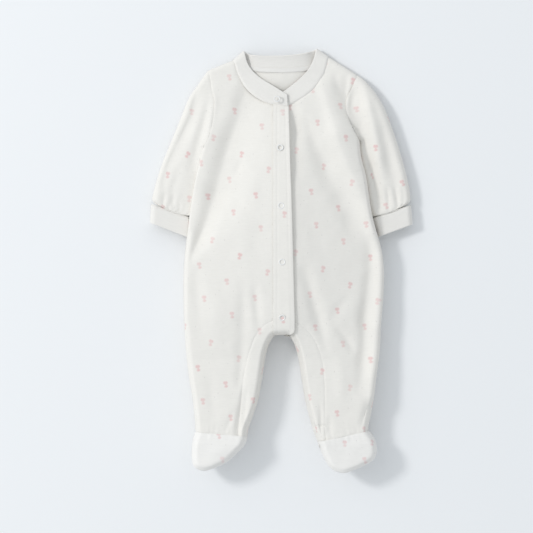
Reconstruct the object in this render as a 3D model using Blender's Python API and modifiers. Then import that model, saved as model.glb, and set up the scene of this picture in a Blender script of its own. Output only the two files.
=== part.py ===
"""A baby's footed sleepsuit in soft knit, lying on its back and lightly filled out.

The suit rests on z = 0 with its neck towards +Y and its front towards +Z.  Left and right are those
of someone who looks down on it.  Tables and sizes are in millimetres, and MM turns them into metres.
Every cloth piece is an open sheet through the middle of the cloth, which Solidify then thickens.
"""

from collections import namedtuple

import bmesh
import bpy
import numpy as np
from mathutils import Vector

MM = 0.001

# ---- Driving sizes ----
KNIT = 1.5  # thickness of the body cloth
RIB = 2.0  # thickness of the doubled cloth in neckband, cuffs and plackets
TAPE = 1.0
SEAM_GAP = 0.3  # between two pieces that are sewn together
SEAM = SEAM_GAP / 2  # what each piece gives up at a seam
BENT_SEAM = 0.3  # the same where the cloth turns sharply at the seam
LEAST_SINE = 0.4  # a seam that meets the rows at a flatter slant than this is treated as having it
LAYER_GAP = 0.6  # between two pieces that lie on each other
MIDDLE = (1.0, -1.65)  # the middle of the whole outline in the tables, which goes to the origin
CENTRE_X = 2.0  # the back's centre line
PLACKET_LEFT_X = -10.0  # where the upper placket is sewn to the left front
CROTCH_Y = -80.0  # where the plackets end and the gussets start
FOLD_REACH = 12.0  # how far from an edge a fold reaches its full depth
FLAP_RAISE = 0.6  # the upper placket's middle, above the suit's surface
UNDER_RAISE = FLAP_RAISE - RIB - LAYER_GAP  # the under placket's, below it
UNDER_REACH = 30.0  # how far from its placket the right front still lies low
UNDER_EDGE_REACH = 2.0  # the same near the crotch's edge
SLEEVE_CLEAR = (3.6, 1.9, 0.7)  # sleeve from body at the underarm, halfway down and at the cuff
BAND_STAND = 6.0  # how far the back of the neckband stands up
BAND_STAND_REACH = 14.0  # how far from the shoulders it stands that far
TAPE_WIDE, TAPE_BELOW = 5.0, 1.0  # the neck tape, and how far it lies below the neckband's seam
BAND_RAISE = 0.8  # the neckband's upper front end, above it
SNAP_CLEAR = 0.1  # the snaps from the smooth surface of what they sit on

Side = namedtuple(
    "Side",
    "sign shoulder neck neck_tip back_neck opening_front opening_back armhole_front armhole_back body_side "
    "sleeve_outer cuff_outer cuff_inner inner_leg gusset_front gusset_back foot placket_x",
)

# Plan outlines, one smooth curve through each list of (x, y), from the neck towards the feet.
LEFT = Side(
    sign=-1,
    shoulder=(-94.3, 242.0),
    neck=[
        (-61.0, 259.5), (-54.5, 241.0), (-47.0, 226.5), (-36.0, 215.0), (-22.5, 206.5), (-10.0, 202.0),
    ],
    neck_tip=(-48.4, 270.4),
    back_neck=[(-61.0, 259.5), (-48.0, 250.0), (-30.0, 244.5), (CENTRE_X, 243.0)],
    opening_front=[
        (8.5, 213.0), (-0.8, 218.8), (-13.0, 226.5), (-25.2, 234.1), (-36.0, 243.4), (-43.7, 254.5),
        (-48.4, 270.4),
    ],
    opening_back=[(-48.4, 270.4), (-41.0, 266.3), (-25.0, 264.3), (CENTRE_X, 264.3)],
    armhole_front=[
        (-94.3, 242.0), (-90.2, 222.3), (-86.3, 203.8), (-88.5, 182.0), (-92.5, 162.0),
        (-101.0, 145.0),
    ],
    armhole_back=[
        (-94.3, 242.0), (-92.5, 222.0), (-91.0, 203.0), (-92.0, 182.0), (-95.0, 162.0),
        (-101.0, 145.0),
    ],
    body_side=[
        (-101.0, 145.0), (-104.5, 130.0), (-110.5, 106.0), (-116.5, 71.5), (-121.0, 37.0), (-124.4, 6.5),
        (-126.0, -20.0), (-126.0, -60.0), (-125.0, -90.0), (-122.5, -125.0), (-119.0, -155.0),
        (-114.5, -182.0), (-111.5, -210.0), (-110.9, -224.5),
    ],
    sleeve_outer=[
        (-94.3, 242.0), (-106.9, 227.5), (-119.2, 209.3), (-129.0, 185.4), (-142.0, 153.4),
        (-155.6, 119.6), (-165.5, 86.0), (-168.3, 71.0),
    ],
    cuff_outer=[(-168.3, 71.0), (-169.2, 47.7)],
    cuff_inner=[(-120.3, 54.0), (-123.4, 29.5)],
    inner_leg=[
        (CENTRE_X, -97.8), (-7.8, -98.8), (-14.8, -109.0), (-19.6, -123.0), (-22.5, -140.0), (-25.6, -160.0),
        (-29.5, -181.0), (-36.0, -202.0), (-42.5, -220.0), (-43.7, -229.5),
    ],
    gusset_front=[
        (PLACKET_LEFT_X, CROTCH_Y), (-21.0, -85.5), (-32.5, -99.5), (-40.0, -118.0), (-46.0, -140.0),
        (-50.0, -165.0), (-53.0, -199.0), (-55.5, -229.0),
    ],
    gusset_back=[
        (CENTRE_X, -73.0), (-22.0, -82.0), (-36.0, -100.0), (-46.0, -140.0), (-53.0, -199.0),
        (-58.0, -229.0),
    ],
    foot=[
        (-110.9, -224.5), (-114.2, -238.0), (-114.9, -254.8), (-113.4, -265.9), (-108.7, -271.3),
        (-98.9, -273.9), (-86.3, -270.5), (-74.5, -265.3), (-66.3, -260.1), (-56.7, -251.3),
        (-49.1, -243.9), (-44.7, -235.7), (-43.7, -229.5),
    ],
    placket_x=(PLACKET_LEFT_X, PLACKET_LEFT_X),
)
RIGHT = Side(
    sign=1,
    shoulder=(100.0, 239.5),
    neck=[(61.4, 264.0), (57.5, 247.0), (50.0, 231.5), (38.5, 218.5), (23.0, 207.5), (6.5, 200.0)],
    neck_tip=(47.3, 273.2),
    back_neck=[(61.4, 264.0), (50.0, 252.5), (33.0, 245.5), (CENTRE_X, 243.0)],
    opening_front=[
        (-8.0, 213.5), (3.0, 217.5), (15.0, 226.0), (26.0, 235.0), (36.0, 245.5), (43.0, 258.5),
        (47.3, 273.2),
    ],
    opening_back=[(47.3, 273.2), (40.0, 270.0), (24.0, 266.5), (CENTRE_X, 264.3)],
    armhole_front=[
        (100.0, 239.5), (92.3, 222.4), (85.4, 206.6), (87.1, 185.4), (94.0, 167.5), (102.5, 152.0),
    ],
    armhole_back=[
        (100.0, 239.5), (95.0, 222.0), (91.5, 205.0), (92.5, 185.0), (96.0, 168.0), (102.5, 152.0),
    ],
    body_side=[
        (102.5, 152.0), (104.5, 132.0), (111.0, 106.0), (117.5, 63.6), (124.0, 37.0), (131.0, 13.0),
        (134.0, -10.0), (134.3, -30.0), (133.0, -56.0), (130.4, -87.0), (129.0, -118.0), (125.0, -150.0),
        (121.3, -180.7), (117.4, -201.5), (114.5, -215.0), (114.0, -223.1),
    ],
    sleeve_outer=[
        (100.0, 239.5), (110.9, 230.4), (124.2, 214.5), (136.0, 193.3), (147.9, 161.5),
        (158.5, 127.1), (166.4, 95.3), (169.2, 69.5),
    ],
    cuff_outer=[(169.2, 69.5), (171.2, 45.8)],
    cuff_inner=[(120.8, 52.5), (127.6, 29.0)],
    inner_leg=[
        (CENTRE_X, -97.8), (10.0, -98.8), (18.0, -110.0), (23.5, -129.0), (27.0, -150.0), (32.0, -181.0),
        (37.0, -202.0), (42.5, -222.0), (48.0, -237.0),
    ],
    gusset_front=[
        (14.0, CROTCH_Y), (31.3, -90.0), (43.2, -104.4), (52.6, -128.0), (56.0, -150.0), (57.3, -187.0),
        (57.0, -218.0), (57.5, -235.0),
    ],
    gusset_back=[
        (CENTRE_X, -73.0), (27.0, -82.0), (42.0, -100.0), (53.0, -140.0), (57.0, -199.0),
        (60.0, -234.0),
    ],
    foot=[
        (114.0, -223.1), (118.7, -228.8), (122.5, -236.3), (124.2, -246.5), (122.9, -255.6), (117.0, -262.3),
        (104.5, -269.0), (91.9, -274.0), (81.9, -276.9), (70.2, -274.0), (61.9, -267.3), (54.3, -253.1),
        (51.0, -243.1), (48.0, -237.0),
    ],
    placket_x=(6.5, 14.0),
)
FLAP_EDGE_X = (9.5, 17.0)  # the upper placket's free edge, at its top and at the crotch
FLAP_TAIL_X = [16.2, 14.6, 11.0]  # the same edge in the rounded tail below the crotch
FLAP_TOP_Y, FLAP_BOTTOM_Y = 199.0, -94.5
UNDER_EDGE_X, UNDER_BOTTOM_Y = -8.0, -93.0  # the under placket's hidden edge and its lower end
CROTCH_STRIP_FROM = 3  # below the plackets, the gussets have only the columns from this one on

# How full the suit is at each y.  seam: height of the side seam.  rise: how far the front swells above it.
# crown: what the middle adds.  drop: how far the back falls below the seam.  half: half the suit's width.
Fullness = namedtuple("Fullness", "y seam rise crown drop half front_round back_round")
LIES = KNIT / 2  # the middle of cloth that lies on the surface
BODY_FULLNESS = [
    Fullness(-277, 48.0, 7.0, 3.0, 12.0, 125, 20, 18),
    Fullness(-268, 43.0, 9.0, 6.0, 14.0, 125, 20, 18),
    Fullness(-255, 33.0, 12.0, 10.0, 16.0, 125, 22, 18),
    Fullness(-240, 22.0, 14.0, 14.0, 17.0, 125, 25, 20),
    Fullness(-227, 15.0, 15.0, 17.0, 15.0 - LIES, 125, 28, 20),
    Fullness(-180, 15.0, 15.0, 18.0, 15.0 - LIES, 126, 28, 20),
    Fullness(-100, 16.0, 15.0, 19.0, 16.0 - LIES, 130, 30, 20),
    Fullness(-40, 16.0, 15.0, 19.0, 16.0 - LIES, 132, 30, 20),
    Fullness(60, 16.0, 15.0, 16.0, 16.0 - LIES, 122, 30, 20),
    Fullness(150, 15.0, 14.0, 11.0, 15.0 - LIES, 112, 28, 20),
    Fullness(200, 12.5, 11.0, 5.0, 12.5 - LIES, 110, 24, 18),
    Fullness(240, 10.0, 9.0, 1.5, 10.0 - LIES, 110, 20, 16),
    Fullness(280, 9.0, 8.0, 0.0, 9.0 - LIES, 110, 20, 16),
]
SLEEVE_FULLNESS = Fullness(0, 10.5, 12.0, 0.0, 10.5 - LIES, 110, 20, 15)
CUFF_FULLNESS = Fullness(0, 9.5, 8.5, 0.0, 9.5 - RIB / 2, 110, 15, 13)
SLEEVE_BLEND = 0.45  # the share of the sleeve over which the body's fullness turns into its own

# The largest folds, straight from (x0, y0) to (x1, y1).  height is above the cloth, below where negative.
Fold = namedtuple("Fold", "x0 y0 x1 y1 width height")
BODY_FOLDS = [
    Fold(-59, 213, -110, 25, 10, -4.0),
    Fold(-76, 200, -112, 60, 7, 2.5),
    Fold(45, 225, 118, 18, 14, 4.0),
    Fold(25, 200, 84, 25, 12, -3.5),
    Fold(84, 207, 98, 165, 7, -3.5),
    Fold(125, 25, 112, -196, 8, 4.0),
    Fold(106, -20, 95, -205, 9, -4.0),
    Fold(-53, -27, -54, -105, 7, -2.0),
    Fold(-62, -140, -60, -218, 6, -2.5),
    Fold(60, -110, 72, -190, 8, -2.0),
]
SLEEVE_FOLDS = [
    Fold(-118, 190, -150, 95, 7, 2.5),
    Fold(-108, 170, -136, 85, 6, -2.5),
    Fold(112, 215, 148, 105, 7, 2.5),
    Fold(108, 190, 134, 85, 6, -2.5),
]

# Where the sheets have their points: shares of a curve's length, or distances in from an outer edge.
ROUND_SHARES = [0, 0.010, 0.05, 0.15, 0.32, 0.52, 0.72, 0.88, 0.97, 1]
FRONT_NECK_SHARES = [0, 0.012, 0.06, 0.20, 0.42, 0.70, 1]
BACK_NECK_SHARES = [0, 0.015, 0.06, 0.22, 0.55, 1]
SIDE_ROWS, LEG_ROWS = 11, 6
SIDE_SHARE = 0.63  # of the body's side, above the crotch
GUSSET_SHARES = [0, 0.12, 0.28, 0.46, 0.65, 0.83, 1]
GUSSET_EDGE_SHARES = [0, 0.075, 0.20, 0.36, 0.53, 0.70, 0.86, 1]
GUSSET_ACROSS = [0, 0.4, 0.7, 0.9, 0.985, 1]
BAND_ACROSS = [0, 0.35, 0.7, 1]
TAIL_SHARES = [0.5, 0.85, 1]
EDGE_STEPS = [0, 0.3, 2.6, 7.7, 16.0, 30.0]
FLAT_STEPS = 3
SLEEVE_STATIONS = [0, 0.03, 0.12, 0.26, 0.42, 0.58, 0.74, 0.88, 0.97, 1]
FOOT_ACROSS, FOOT_STEPS = 12, [0, 0.3, 0.56, 0.77, 0.91, 0.985, 1]

# The first snap sits on the neckband, and the others on the upper placket.
Snap = namedtuple("Snap", "x y raised")
SNAPS = [
    Snap(-5.0, 207.5, BAND_RAISE),
    Snap(-0.9, 144.3, FLAP_RAISE),
    Snap(0.4, 68.9, FLAP_RAISE),
    Snap(1.7, -3.9, FLAP_RAISE),
    Snap(1.6, -75.4, FLAP_RAISE),
]
SNAP_PROFILE = [(2.7, 0.0), (2.7, 0.8), (3.2, 1.1), (4.0, 1.1), (4.5, 0.6), (4.5, 0.0)]
SNAP_SEGMENTS = 14
RING_CLOSES = 0.01  # the first and last points of a snap's turn that are this close become one

Finish = namedtuple("Finish", "name colour roughness metallic")
KNIT_FINISH = Finish("printed_knit", (0.84, 0.82, 0.78), 0.9, 0.0)
RIB_FINISH = Finish("plain_knit", (0.86, 0.84, 0.80), 0.9, 0.0)
TAPE_FINISH = Finish("woven_tape", (0.82, 0.79, 0.74), 0.85, 0.0)
SNAP_FINISH = Finish("pearl_metal", (0.72, 0.71, 0.69), 0.35, 0.6)


# ---- Curves and heights ----
def smooth_line(points, per_span=14):
    """Dense points of the Catmull-Rom curve through the given ones."""
    points = np.array(points, float)
    ends = 2 * points[[0, -1]] - points[[1, -2]]
    padded = np.vstack([ends[0], points, ends[1]])
    share = np.linspace(0, 1, per_span, endpoint=False)[:, None]
    spans = []
    for a, b, c, d in zip(padded, padded[1:], padded[2:], padded[3:]):
        spans.append(0.5 * (2 * b + (c - a) * share + (2 * a - 5 * b + 4 * c - d) * share**2
                            + (3 * b - a - 3 * c + d) * share**3))
    return np.vstack([*spans, points[-1]])


def length_shares(line):
    """How far along a line each of its points is, as shares of its length."""
    length = np.concatenate([[0], np.cumsum(np.linalg.norm(np.diff(line, axis=0), axis=1))])
    return length / length[-1]


def along(line, shares):
    """The points at the given shares of a dense line's length."""
    return np.stack([np.interp(shares, length_shares(line), axis) for axis in line.T], axis=1)


def sampled(points, shares):
    return along(smooth_line(points), shares)


def edge_distance(spots, lines):
    """The distance from each (x, y) spot to the nearest of the lines."""
    nearest = np.full(len(spots), np.inf)
    for line in lines:
        start, step = line[:-1], np.diff(line, axis=0)
        to = spots[:, None] - start[None]
        share = np.clip((to * step).sum(-1) / (step**2).sum(-1), 0, 1)
        away = np.linalg.norm(to - share[..., None] * step, axis=-1).min(1)
        nearest = np.minimum(nearest, away)
    return nearest


def swell(distance, radius):
    """0 at an edge and 1 from `radius` on, rounded as a quarter of an ellipse."""
    return np.sqrt(1 - (1 - np.clip(distance / radius, 0, 1)) ** 2)


def ease(share):
    share = np.clip(share, 0, 1)
    return share * share * (3 - 2 * share)


def fullness_at(y):
    """The body's fullness at each y, as a Fullness of arrays."""
    table = np.array(BODY_FULLNESS, float)
    return Fullness(y, *(np.interp(y, table[:, 0], column) for column in table.T[1:]))


def mixed(first, second, share):
    """Turns one Fullness into another as share goes from 0 to 1."""
    return Fullness(*(np.asarray(a) * (1 - share) + np.asarray(b) * share for a, b in zip(first, second)))


def fold_height(spots, folds):
    height = np.zeros(len(spots))
    for fold in folds:
        start, step = np.array((fold.x0, fold.y0)), np.array((fold.x1 - fold.x0, fold.y1 - fold.y0))
        share = ((spots - start) @ step) / (step @ step)
        away = np.linalg.norm(spots - start - np.clip(share, 0, 1)[:, None] * step, axis=1)
        fades = np.sqrt(np.clip(4 * share * (1 - share), 0, 1))
        height += fold.height * np.exp(-((away / fold.width) ** 2)) * fades
    return height


def front_height(spots, lines, full, folds):
    distance = edge_distance(spots, lines)
    crown = full.crown * (1 - np.clip(np.abs(spots[:, 0]) / full.half, 0, 1) ** 2)
    folded = fold_height(spots, folds) * ease(distance / FOLD_REACH)
    return full.seam + (full.rise + crown) * swell(distance, full.front_round) + folded


def back_height(spots, lines, full):
    return full.seam - full.drop * swell(edge_distance(spots, lines), full.back_round)


def shoulder_line(side):
    return np.array([side.shoulder, side.neck[0], side.neck_tip])


# Every line at which front and back meet, seen from above.
SHARED_EDGES = [shoulder_line(side) for side in (LEFT, RIGHT)]
SHARED_EDGES += [smooth_line(side.sleeve_outer) for side in (LEFT, RIGHT)]
BODY_EDGES = SHARED_EDGES + [
    smooth_line(curve) for side in (LEFT, RIGHT) for curve in (side.body_side, side.inner_leg, side.foot)
]


def front_of_body(spots, raised=0.0):
    """Points on the front for (x, y) spots, moved out along the surface's own normal by `raised`."""
    spots = np.atleast_2d(np.array(spots, float))

    def height(at):
        return front_height(at, BODY_EDGES, fullness_at(at[:, 1]), BODY_FOLDS)

    z = height(spots)
    points = np.column_stack([spots, z])
    if np.any(raised):
        step = 0.2
        slope = [(height(spots + move) - height(spots - move)) / (2 * step) for move in np.eye(2) * step]
        normal = np.column_stack([-slope[0], -slope[1], np.ones(len(spots))])
        normal /= np.linalg.norm(normal, axis=1)[:, None]
        points += normal * np.broadcast_to(raised, len(spots))[:, None]
    return points


def back_of_body(spots):
    spots = np.atleast_2d(np.array(spots, float))
    return np.column_stack([spots, back_height(spots, BODY_EDGES, fullness_at(spots[:, 1]))])


# ---- Meshes ----
def made_of(finish):
    material = bpy.data.materials.get(finish.name) or bpy.data.materials.new(finish.name)
    material.use_nodes = True
    shader = material.node_tree.nodes["Principled BSDF"]
    shader.inputs["Base Color"].default_value = (*finish.colour, 1)
    shader.inputs["Roughness"].default_value = finish.roughness
    shader.inputs["Metallic"].default_value = finish.metallic
    return material


def add_object(name, mesh, finish):
    mesh.materials.append(made_of(finish))
    mesh.shade_smooth()
    piece = bpy.data.objects.new(name, mesh)
    suit.objects.link(piece)
    return piece


def trim(grid, first_row=0.0, last_row=0.0, first_column=0.0, last_column=0.0):
    """Draws the edges of a grid back along its own lines, each by its own amount square to the edge."""
    grid = grid.copy()
    edges = [(first_row, grid[0], grid[1]), (last_row, grid[-1], grid[-2]),
             (first_column, grid[:, 0], grid[:, 1]), (last_column, grid[:, -1], grid[:, -2])]
    for amount, edge, beside in edges:
        inward, course = beside - edge, np.gradient(edge, axis=0)
        lengths = np.linalg.norm(inward, axis=1) * np.maximum(np.linalg.norm(course, axis=1), 1e-9)
        sine = np.linalg.norm(np.cross(inward, course), axis=1) / lengths
        by = amount / np.maximum(sine, LEAST_SINE)
        edge += inward / np.linalg.norm(inward, axis=1)[:, None] * by[:, None]
    return grid


def to_world(point):
    """A point of the tables in metres, with the suit's middle at the origin."""
    return Vector((point[0] - MIDDLE[0], point[1] - MIDDLE[1], point[2])) * MM


def cloth(name, grids, thickness, finish, ring=False, skip=lambda row, column: False):
    """One piece of cloth: sheets through grids of points, joined where they share points."""
    made = bmesh.new()
    for grid in grids:
        rows, columns = grid.shape[:2]
        points = [[made.verts.new(to_world(grid[i, j])) for j in range(columns)] for i in range(rows)]
        for i in range(rows - 1):
            for j in range(columns if ring else columns - 1):
                after = (j + 1) % columns
                if not skip(i, j):
                    made.faces.new([points[i][j], points[i][after], points[i + 1][after], points[i + 1][j]])
    bmesh.ops.remove_doubles(made, verts=made.verts, dist=0.02 * MM)
    bmesh.ops.delete(made, geom=[v for v in made.verts if not v.link_faces], context="VERTS")
    bmesh.ops.recalc_face_normals(made, faces=made.faces)
    mesh = bpy.data.meshes.new(name)
    made.to_mesh(mesh)
    made.free()
    piece = add_object(name, mesh, finish)
    solid = piece.modifiers.new("Thickness", "SOLIDIFY")
    solid.thickness = thickness * MM
    solid.offset = 0
    return piece


def spread(outer, inner, steps):
    """A grid with a row from each outer point to its inner one, `steps` being distances from the outer."""
    rows = []
    for a, b in zip(outer, inner):
        length = np.linalg.norm(b - a)
        rounded = [step for step in steps if step < length * 0.8]
        missing = len(steps) - len(rounded) + FLAT_STEPS
        distances = np.concatenate([rounded, np.linspace(rounded[-1], length, missing + 1)[1:]])
        rows.append(a + (b - a) * (distances / length)[:, None])
    return np.array(rows)


def raise_grid(plan, surface):
    """Lifts a grid of (x, y) to points with `surface`, which takes and gives flat lists."""
    return surface(plan.reshape(-1, 2)).reshape(*plan.shape[:2], 3)


def part_at(edge, share):
    """A placket edge's x as the share goes from its top to its bottom."""
    return edge[0] + (edge[1] - edge[0]) * share


def placket_seam(side):
    """The line where a front is sewn to its placket, from the neck to the gusset."""
    top, rows = side.neck[-1], 3 + SIDE_ROWS
    return np.array([(part_at(side.placket_x, k / rows), part_at((top[1], CROTCH_Y), k / rows))
                     for k in range(rows + 1)])


def under_drop(spots):
    """How far the right front lies below the suit's surface, where it runs under the upper placket."""
    seam_x = np.interp(spots[:, 1], [CROTCH_Y, FLAP_TOP_Y], RIGHT.placket_x[::-1])
    from_edge = np.clip(edge_distance(spots, BODY_EDGES) / UNDER_EDGE_REACH, 0, 1)
    return UNDER_RAISE * (1 - ease((spots[:, 0] - seam_x) / UNDER_REACH)) * from_edge


def seam_points(side):
    """The corner-matched outer and inner seam points of a front and of its half of the back."""
    above_crotch = np.linspace(0, SIDE_SHARE, SIDE_ROWS + 1)
    beside_leg = np.linspace(SIDE_SHARE, 1, LEG_ROWS + 1)
    sides = np.concatenate([above_crotch, beside_leg[1:]])
    body_side = sampled(side.body_side, sides)
    front_outer = np.vstack([sampled(side.armhole_front, ROUND_SHARES), body_side[1:]])
    back_outer = np.vstack([sampled(side.armhole_back, ROUND_SHARES), body_side[1:]])
    front_inner = np.vstack([sampled(side.neck, FRONT_NECK_SHARES), placket_seam(side)[1:],
                             sampled(side.gusset_front, GUSSET_SHARES)[1:]])
    back_neck = sampled(side.back_neck, BACK_NECK_SHARES)
    gusset_back = sampled(side.gusset_back, GUSSET_SHARES)
    centre_rows = len(front_outer) - len(back_neck) - LEG_ROWS
    centre = np.linspace(back_neck[-1], gusset_back[0], centre_rows + 1)
    back_inner = np.vstack([back_neck, centre[1:], gusset_back[1:]])
    return front_outer, front_inner, back_outer, back_inner


def make_fronts():
    for name, side in (("front_left", LEFT), ("front_right", RIGHT)):
        outer, inner, _, _ = seam_points(side)

        def surface(spots, side=side):
            return front_of_body(spots, under_drop(spots) if side is RIGHT else 0.0)

        grid = raise_grid(spread(outer, inner, EDGE_STEPS), surface)
        cloth(name, [trim(grid, BENT_SEAM, BENT_SEAM, SEAM, BENT_SEAM)], KNIT, KNIT_FINISH)


def make_back():
    halves = []
    for side in (LEFT, RIGHT):
        _, _, outer, inner = seam_points(side)
        grid = raise_grid(spread(outer, inner, EDGE_STEPS), back_of_body)
        centre = grid[:, -1].copy()
        grid = trim(grid, BENT_SEAM, BENT_SEAM, SEAM, SEAM)
        joined = np.abs(inner[:, 0] - CENTRE_X) < 0.01
        grid[joined, -1] = centre[joined]
        top, bottom = np.flatnonzero(joined)[[0, -1]]
        grid[top, -1, 1] -= SEAM_GAP / 2
        grid[bottom, -1, 1] += SEAM_GAP / 2
        halves.append(grid)
    cloth("back", halves, KNIT, KNIT_FINISH)


def make_gussets():
    """The strips along the inside of each leg, from the front seam round to the back seam."""
    across = np.array(GUSSET_ACROSS)
    front_columns = len(across) - 1
    for name, side in (("inseam_left", LEFT), ("inseam_right", RIGHT)):
        edge = sampled(side.inner_leg, GUSSET_EDGE_SHARES)
        edge[1, 0] = side.placket_x[1]
        front = np.vstack([(CENTRE_X, CROTCH_Y), sampled(side.gusset_front, GUSSET_SHARES)])
        back = sampled(side.gusset_back, GUSSET_SHARES)
        back = np.vstack([back[0], back[0] * 0.6 + back[1] * 0.4, back[1:]])
        rows = []
        for a, b, c in zip(front, edge, back):
            ahead = a + (b - a) * across[:, None]
            behind = b + (c - b) * (1 - across[::-1][1:])[:, None]
            rows.append(np.vstack([ahead, behind]))
        plan = np.array(rows)

        def front_surface(spots, side=side):
            return front_of_body(spots, under_drop(spots) if side is RIGHT else 0.0)

        grid = raise_grid(plan, back_of_body)
        grid[0, :front_columns] = front_of_body(plan[0, :front_columns])
        grid[1:, :front_columns] = raise_grid(plan[1:, :front_columns], front_surface)
        grid = trim(grid, BENT_SEAM, BENT_SEAM, BENT_SEAM, BENT_SEAM)
        grid[1, :front_columns, 0] += side.sign * SEAM

        def below_placket(row, column):
            return row == 0 and column < CROTCH_STRIP_FROM

        cloth(name, [grid], KNIT, KNIT_FINISH, skip=below_placket)


def make_plackets():
    """The upper one is sewn to the left front, the under one to the right, and both end at the crotch."""
    left_seam, right_seam = placket_seam(LEFT), placket_seam(RIGHT)
    shares = np.linspace(0, 1, len(left_seam))
    free = np.column_stack([part_at(FLAP_EDGE_X, shares), part_at((FLAP_TOP_Y, CROTCH_Y), shares)])
    hidden = np.column_stack([np.full(len(shares), UNDER_EDGE_X), right_seam[:, 1]])

    def with_tail(line, tail_x, bottom_y):
        tail_y = part_at((CROTCH_Y, bottom_y), np.array(TAIL_SHARES))
        return np.vstack([line, np.column_stack([np.broadcast_to(tail_x, len(tail_y)), tail_y])])

    over = [
        with_tail(left_seam, PLACKET_LEFT_X, FLAP_BOTTOM_Y),
        with_tail(free, FLAP_TAIL_X, FLAP_BOTTOM_Y),
    ]
    under = [with_tail(line, line[-1, 0], UNDER_BOTTOM_Y) for line in (hidden, right_seam)]
    for name, (left, right), raised, sewn in (
        ("placket_over", over, FLAP_RAISE, (SEAM, 0)),
        ("placket_under", under, UNDER_RAISE, (0, BENT_SEAM)),
    ):
        plan = left[:, None] + (right - left)[:, None] * np.linspace(0, 1, 4)[:, None]
        grid = raise_grid(plan, lambda spots, raised=raised: front_of_body(spots, raised))
        grid = trim(grid, first_row=SEAM, first_column=sewn[0], last_column=sewn[1])
        cloth(name, [grid], RIB, KNIT_FINISH)


def sleeve_rings(side, station_shares):
    """Front and back halves of each ring of points along a sleeve, from the armhole to the cuff."""
    sleeve_line = smooth_line(side.sleeve_outer)
    outer = along(sleeve_line, station_shares)
    inner_line = along(smooth_line(side.body_side), np.linspace(0, 1, 60))[:16]
    inner_line = inner_line[inner_line[:, 1] > side.cuff_inner[0][1] + 3]
    inner_line = np.vstack([inner_line, side.cuff_inner[0]])
    inner = along(inner_line, station_shares)
    clear = np.interp(station_shares, [0, 0.5, 1], SLEEVE_CLEAR)
    inner[:, 0] += side.sign * clear
    edges = SHARED_EDGES + [inner, np.array([inner[-1], side.cuff_inner[1]]), np.array(side.cuff_outer)]
    shares = np.array(ROUND_SHARES)
    armhole_shift = side.sign * (SEAM_GAP + (SLEEVE_CLEAR[0] - SEAM_GAP) * shares**2)
    rings = []
    for share, a, b in zip(station_shares, outer, inner):
        straight = a + (b - a) * shares[:, None]
        keeps = 1 - ease(share / 0.6)
        full = mixed(fullness_at(straight[:, 1]), SLEEVE_FULLNESS, ease(share / SLEEVE_BLEND))
        halves = []
        for curve in (side.armhole_front, side.armhole_back):
            armhole = sampled(curve, shares) + np.column_stack([armhole_shift, np.zeros(len(shares))])
            first = outer[0] + (inner[0] - outer[0]) * shares[:, None]
            halves.append(straight + (armhole - first) * keeps)
        front_z = front_height(halves[0], edges, full, SLEEVE_FOLDS)
        back_z = back_height(halves[1], edges, full)
        front_z[[0, -1]] = back_z[[0, -1]] = full.seam[[0, -1]]
        front = np.column_stack([halves[0], front_z])
        back = np.column_stack([halves[1], back_z])
        rings.append(np.vstack([front, back[-2:0:-1]]))
    return np.array(rings)


def make_sleeves():
    for name, side in (("left", LEFT), ("right", RIGHT)):
        rings = sleeve_rings(side, np.array(SLEEVE_STATIONS))
        cloth(f"sleeve_{name}", [trim(rings, last_row=SEAM)], KNIT, KNIT_FINISH, ring=True)
        make_cuff(f"cuff_{name}", side)


def make_cuff(name, side):
    shares = np.array(ROUND_SHARES)
    outer = np.linspace(side.cuff_outer[0], side.cuff_outer[1], 3)
    inner = np.linspace(side.cuff_inner[0], side.cuff_inner[1], 3)
    edges = [outer, inner]
    rings = []
    for a, b in zip(outer, inner):
        spots = a + (b - a) * shares[:, None]
        full = Fullness(*(np.full(len(spots), value, float) for value in CUFF_FULLNESS))
        front = np.column_stack([spots, front_height(spots, edges, full, [])])
        back = np.column_stack([spots, back_height(spots, edges, full)])
        rings.append(np.vstack([front, back[-2:0:-1]]))
    cloth(name, [trim(np.array(rings), first_row=BENT_SEAM)], RIB, RIB_FINISH, ring=True)


def make_neckband():
    """An open ring, from its upper front end round by the left shoulder and the back to its under one."""
    flap_top = np.linspace((FLAP_EDGE_X[0], FLAP_TOP_Y), LEFT.neck[-1], 4)
    under_top = np.linspace(RIGHT.neck[-1], (UNDER_EDGE_X, RIGHT.neck[-1][1]), 4)
    left_neck, right_neck = (sampled(side.neck, FRONT_NECK_SHARES) for side in (LEFT, RIGHT))
    left_back, right_back = (sampled(side.back_neck, BACK_NECK_SHARES) for side in (LEFT, RIGHT))
    left_front = np.vstack([flap_top[:-1], left_neck[::-1]])
    right_front = np.vstack([right_neck[:-1], under_top])
    over = np.interp(length_shares(left_front), [0, 0.18, 0.5], [BAND_RAISE, BAND_RAISE, 0])
    under = np.interp(length_shares(right_front), [0.45, 0.78, 1], [0, UNDER_RAISE, UNDER_RAISE])
    # each run: the seam, the free edge, which side it belongs to, and how far it is raised
    runs = [
        (left_front, LEFT.opening_front, "front", over),
        (left_back, LEFT.opening_back, "back", None),
        (right_back[::-1], RIGHT.opening_back[::-1], "back", None),
        (right_front, RIGHT.opening_front[::-1], "front", under),
    ]
    rows = []
    for seam, opening, lies_on, raised in runs:
        free = sampled(opening, length_shares(seam))
        across = []
        for share in BAND_ACROSS:
            spots = seam + (free - seam) * share
            if lies_on == "front":
                points = front_of_body(spots, raised)
            else:
                points = back_of_body(spots)
                stands = np.clip(edge_distance(spots, SHARED_EDGES[:2]) / BAND_STAND_REACH, 0, 1)
                points[:, 2] += BAND_STAND * share**2 * stands + (RIB - KNIT) / 2
            across.append(points)
        rows.append(np.array(across).transpose(1, 0, 2))
    left_front, left_back, right_back, right_front = rows
    grid = np.vstack([left_front, left_back[1:], right_back[1:-1], right_front])
    cloth("neckband", [trim(grid, first_column=SEAM)], RIB, RIB_FINISH)


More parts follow.
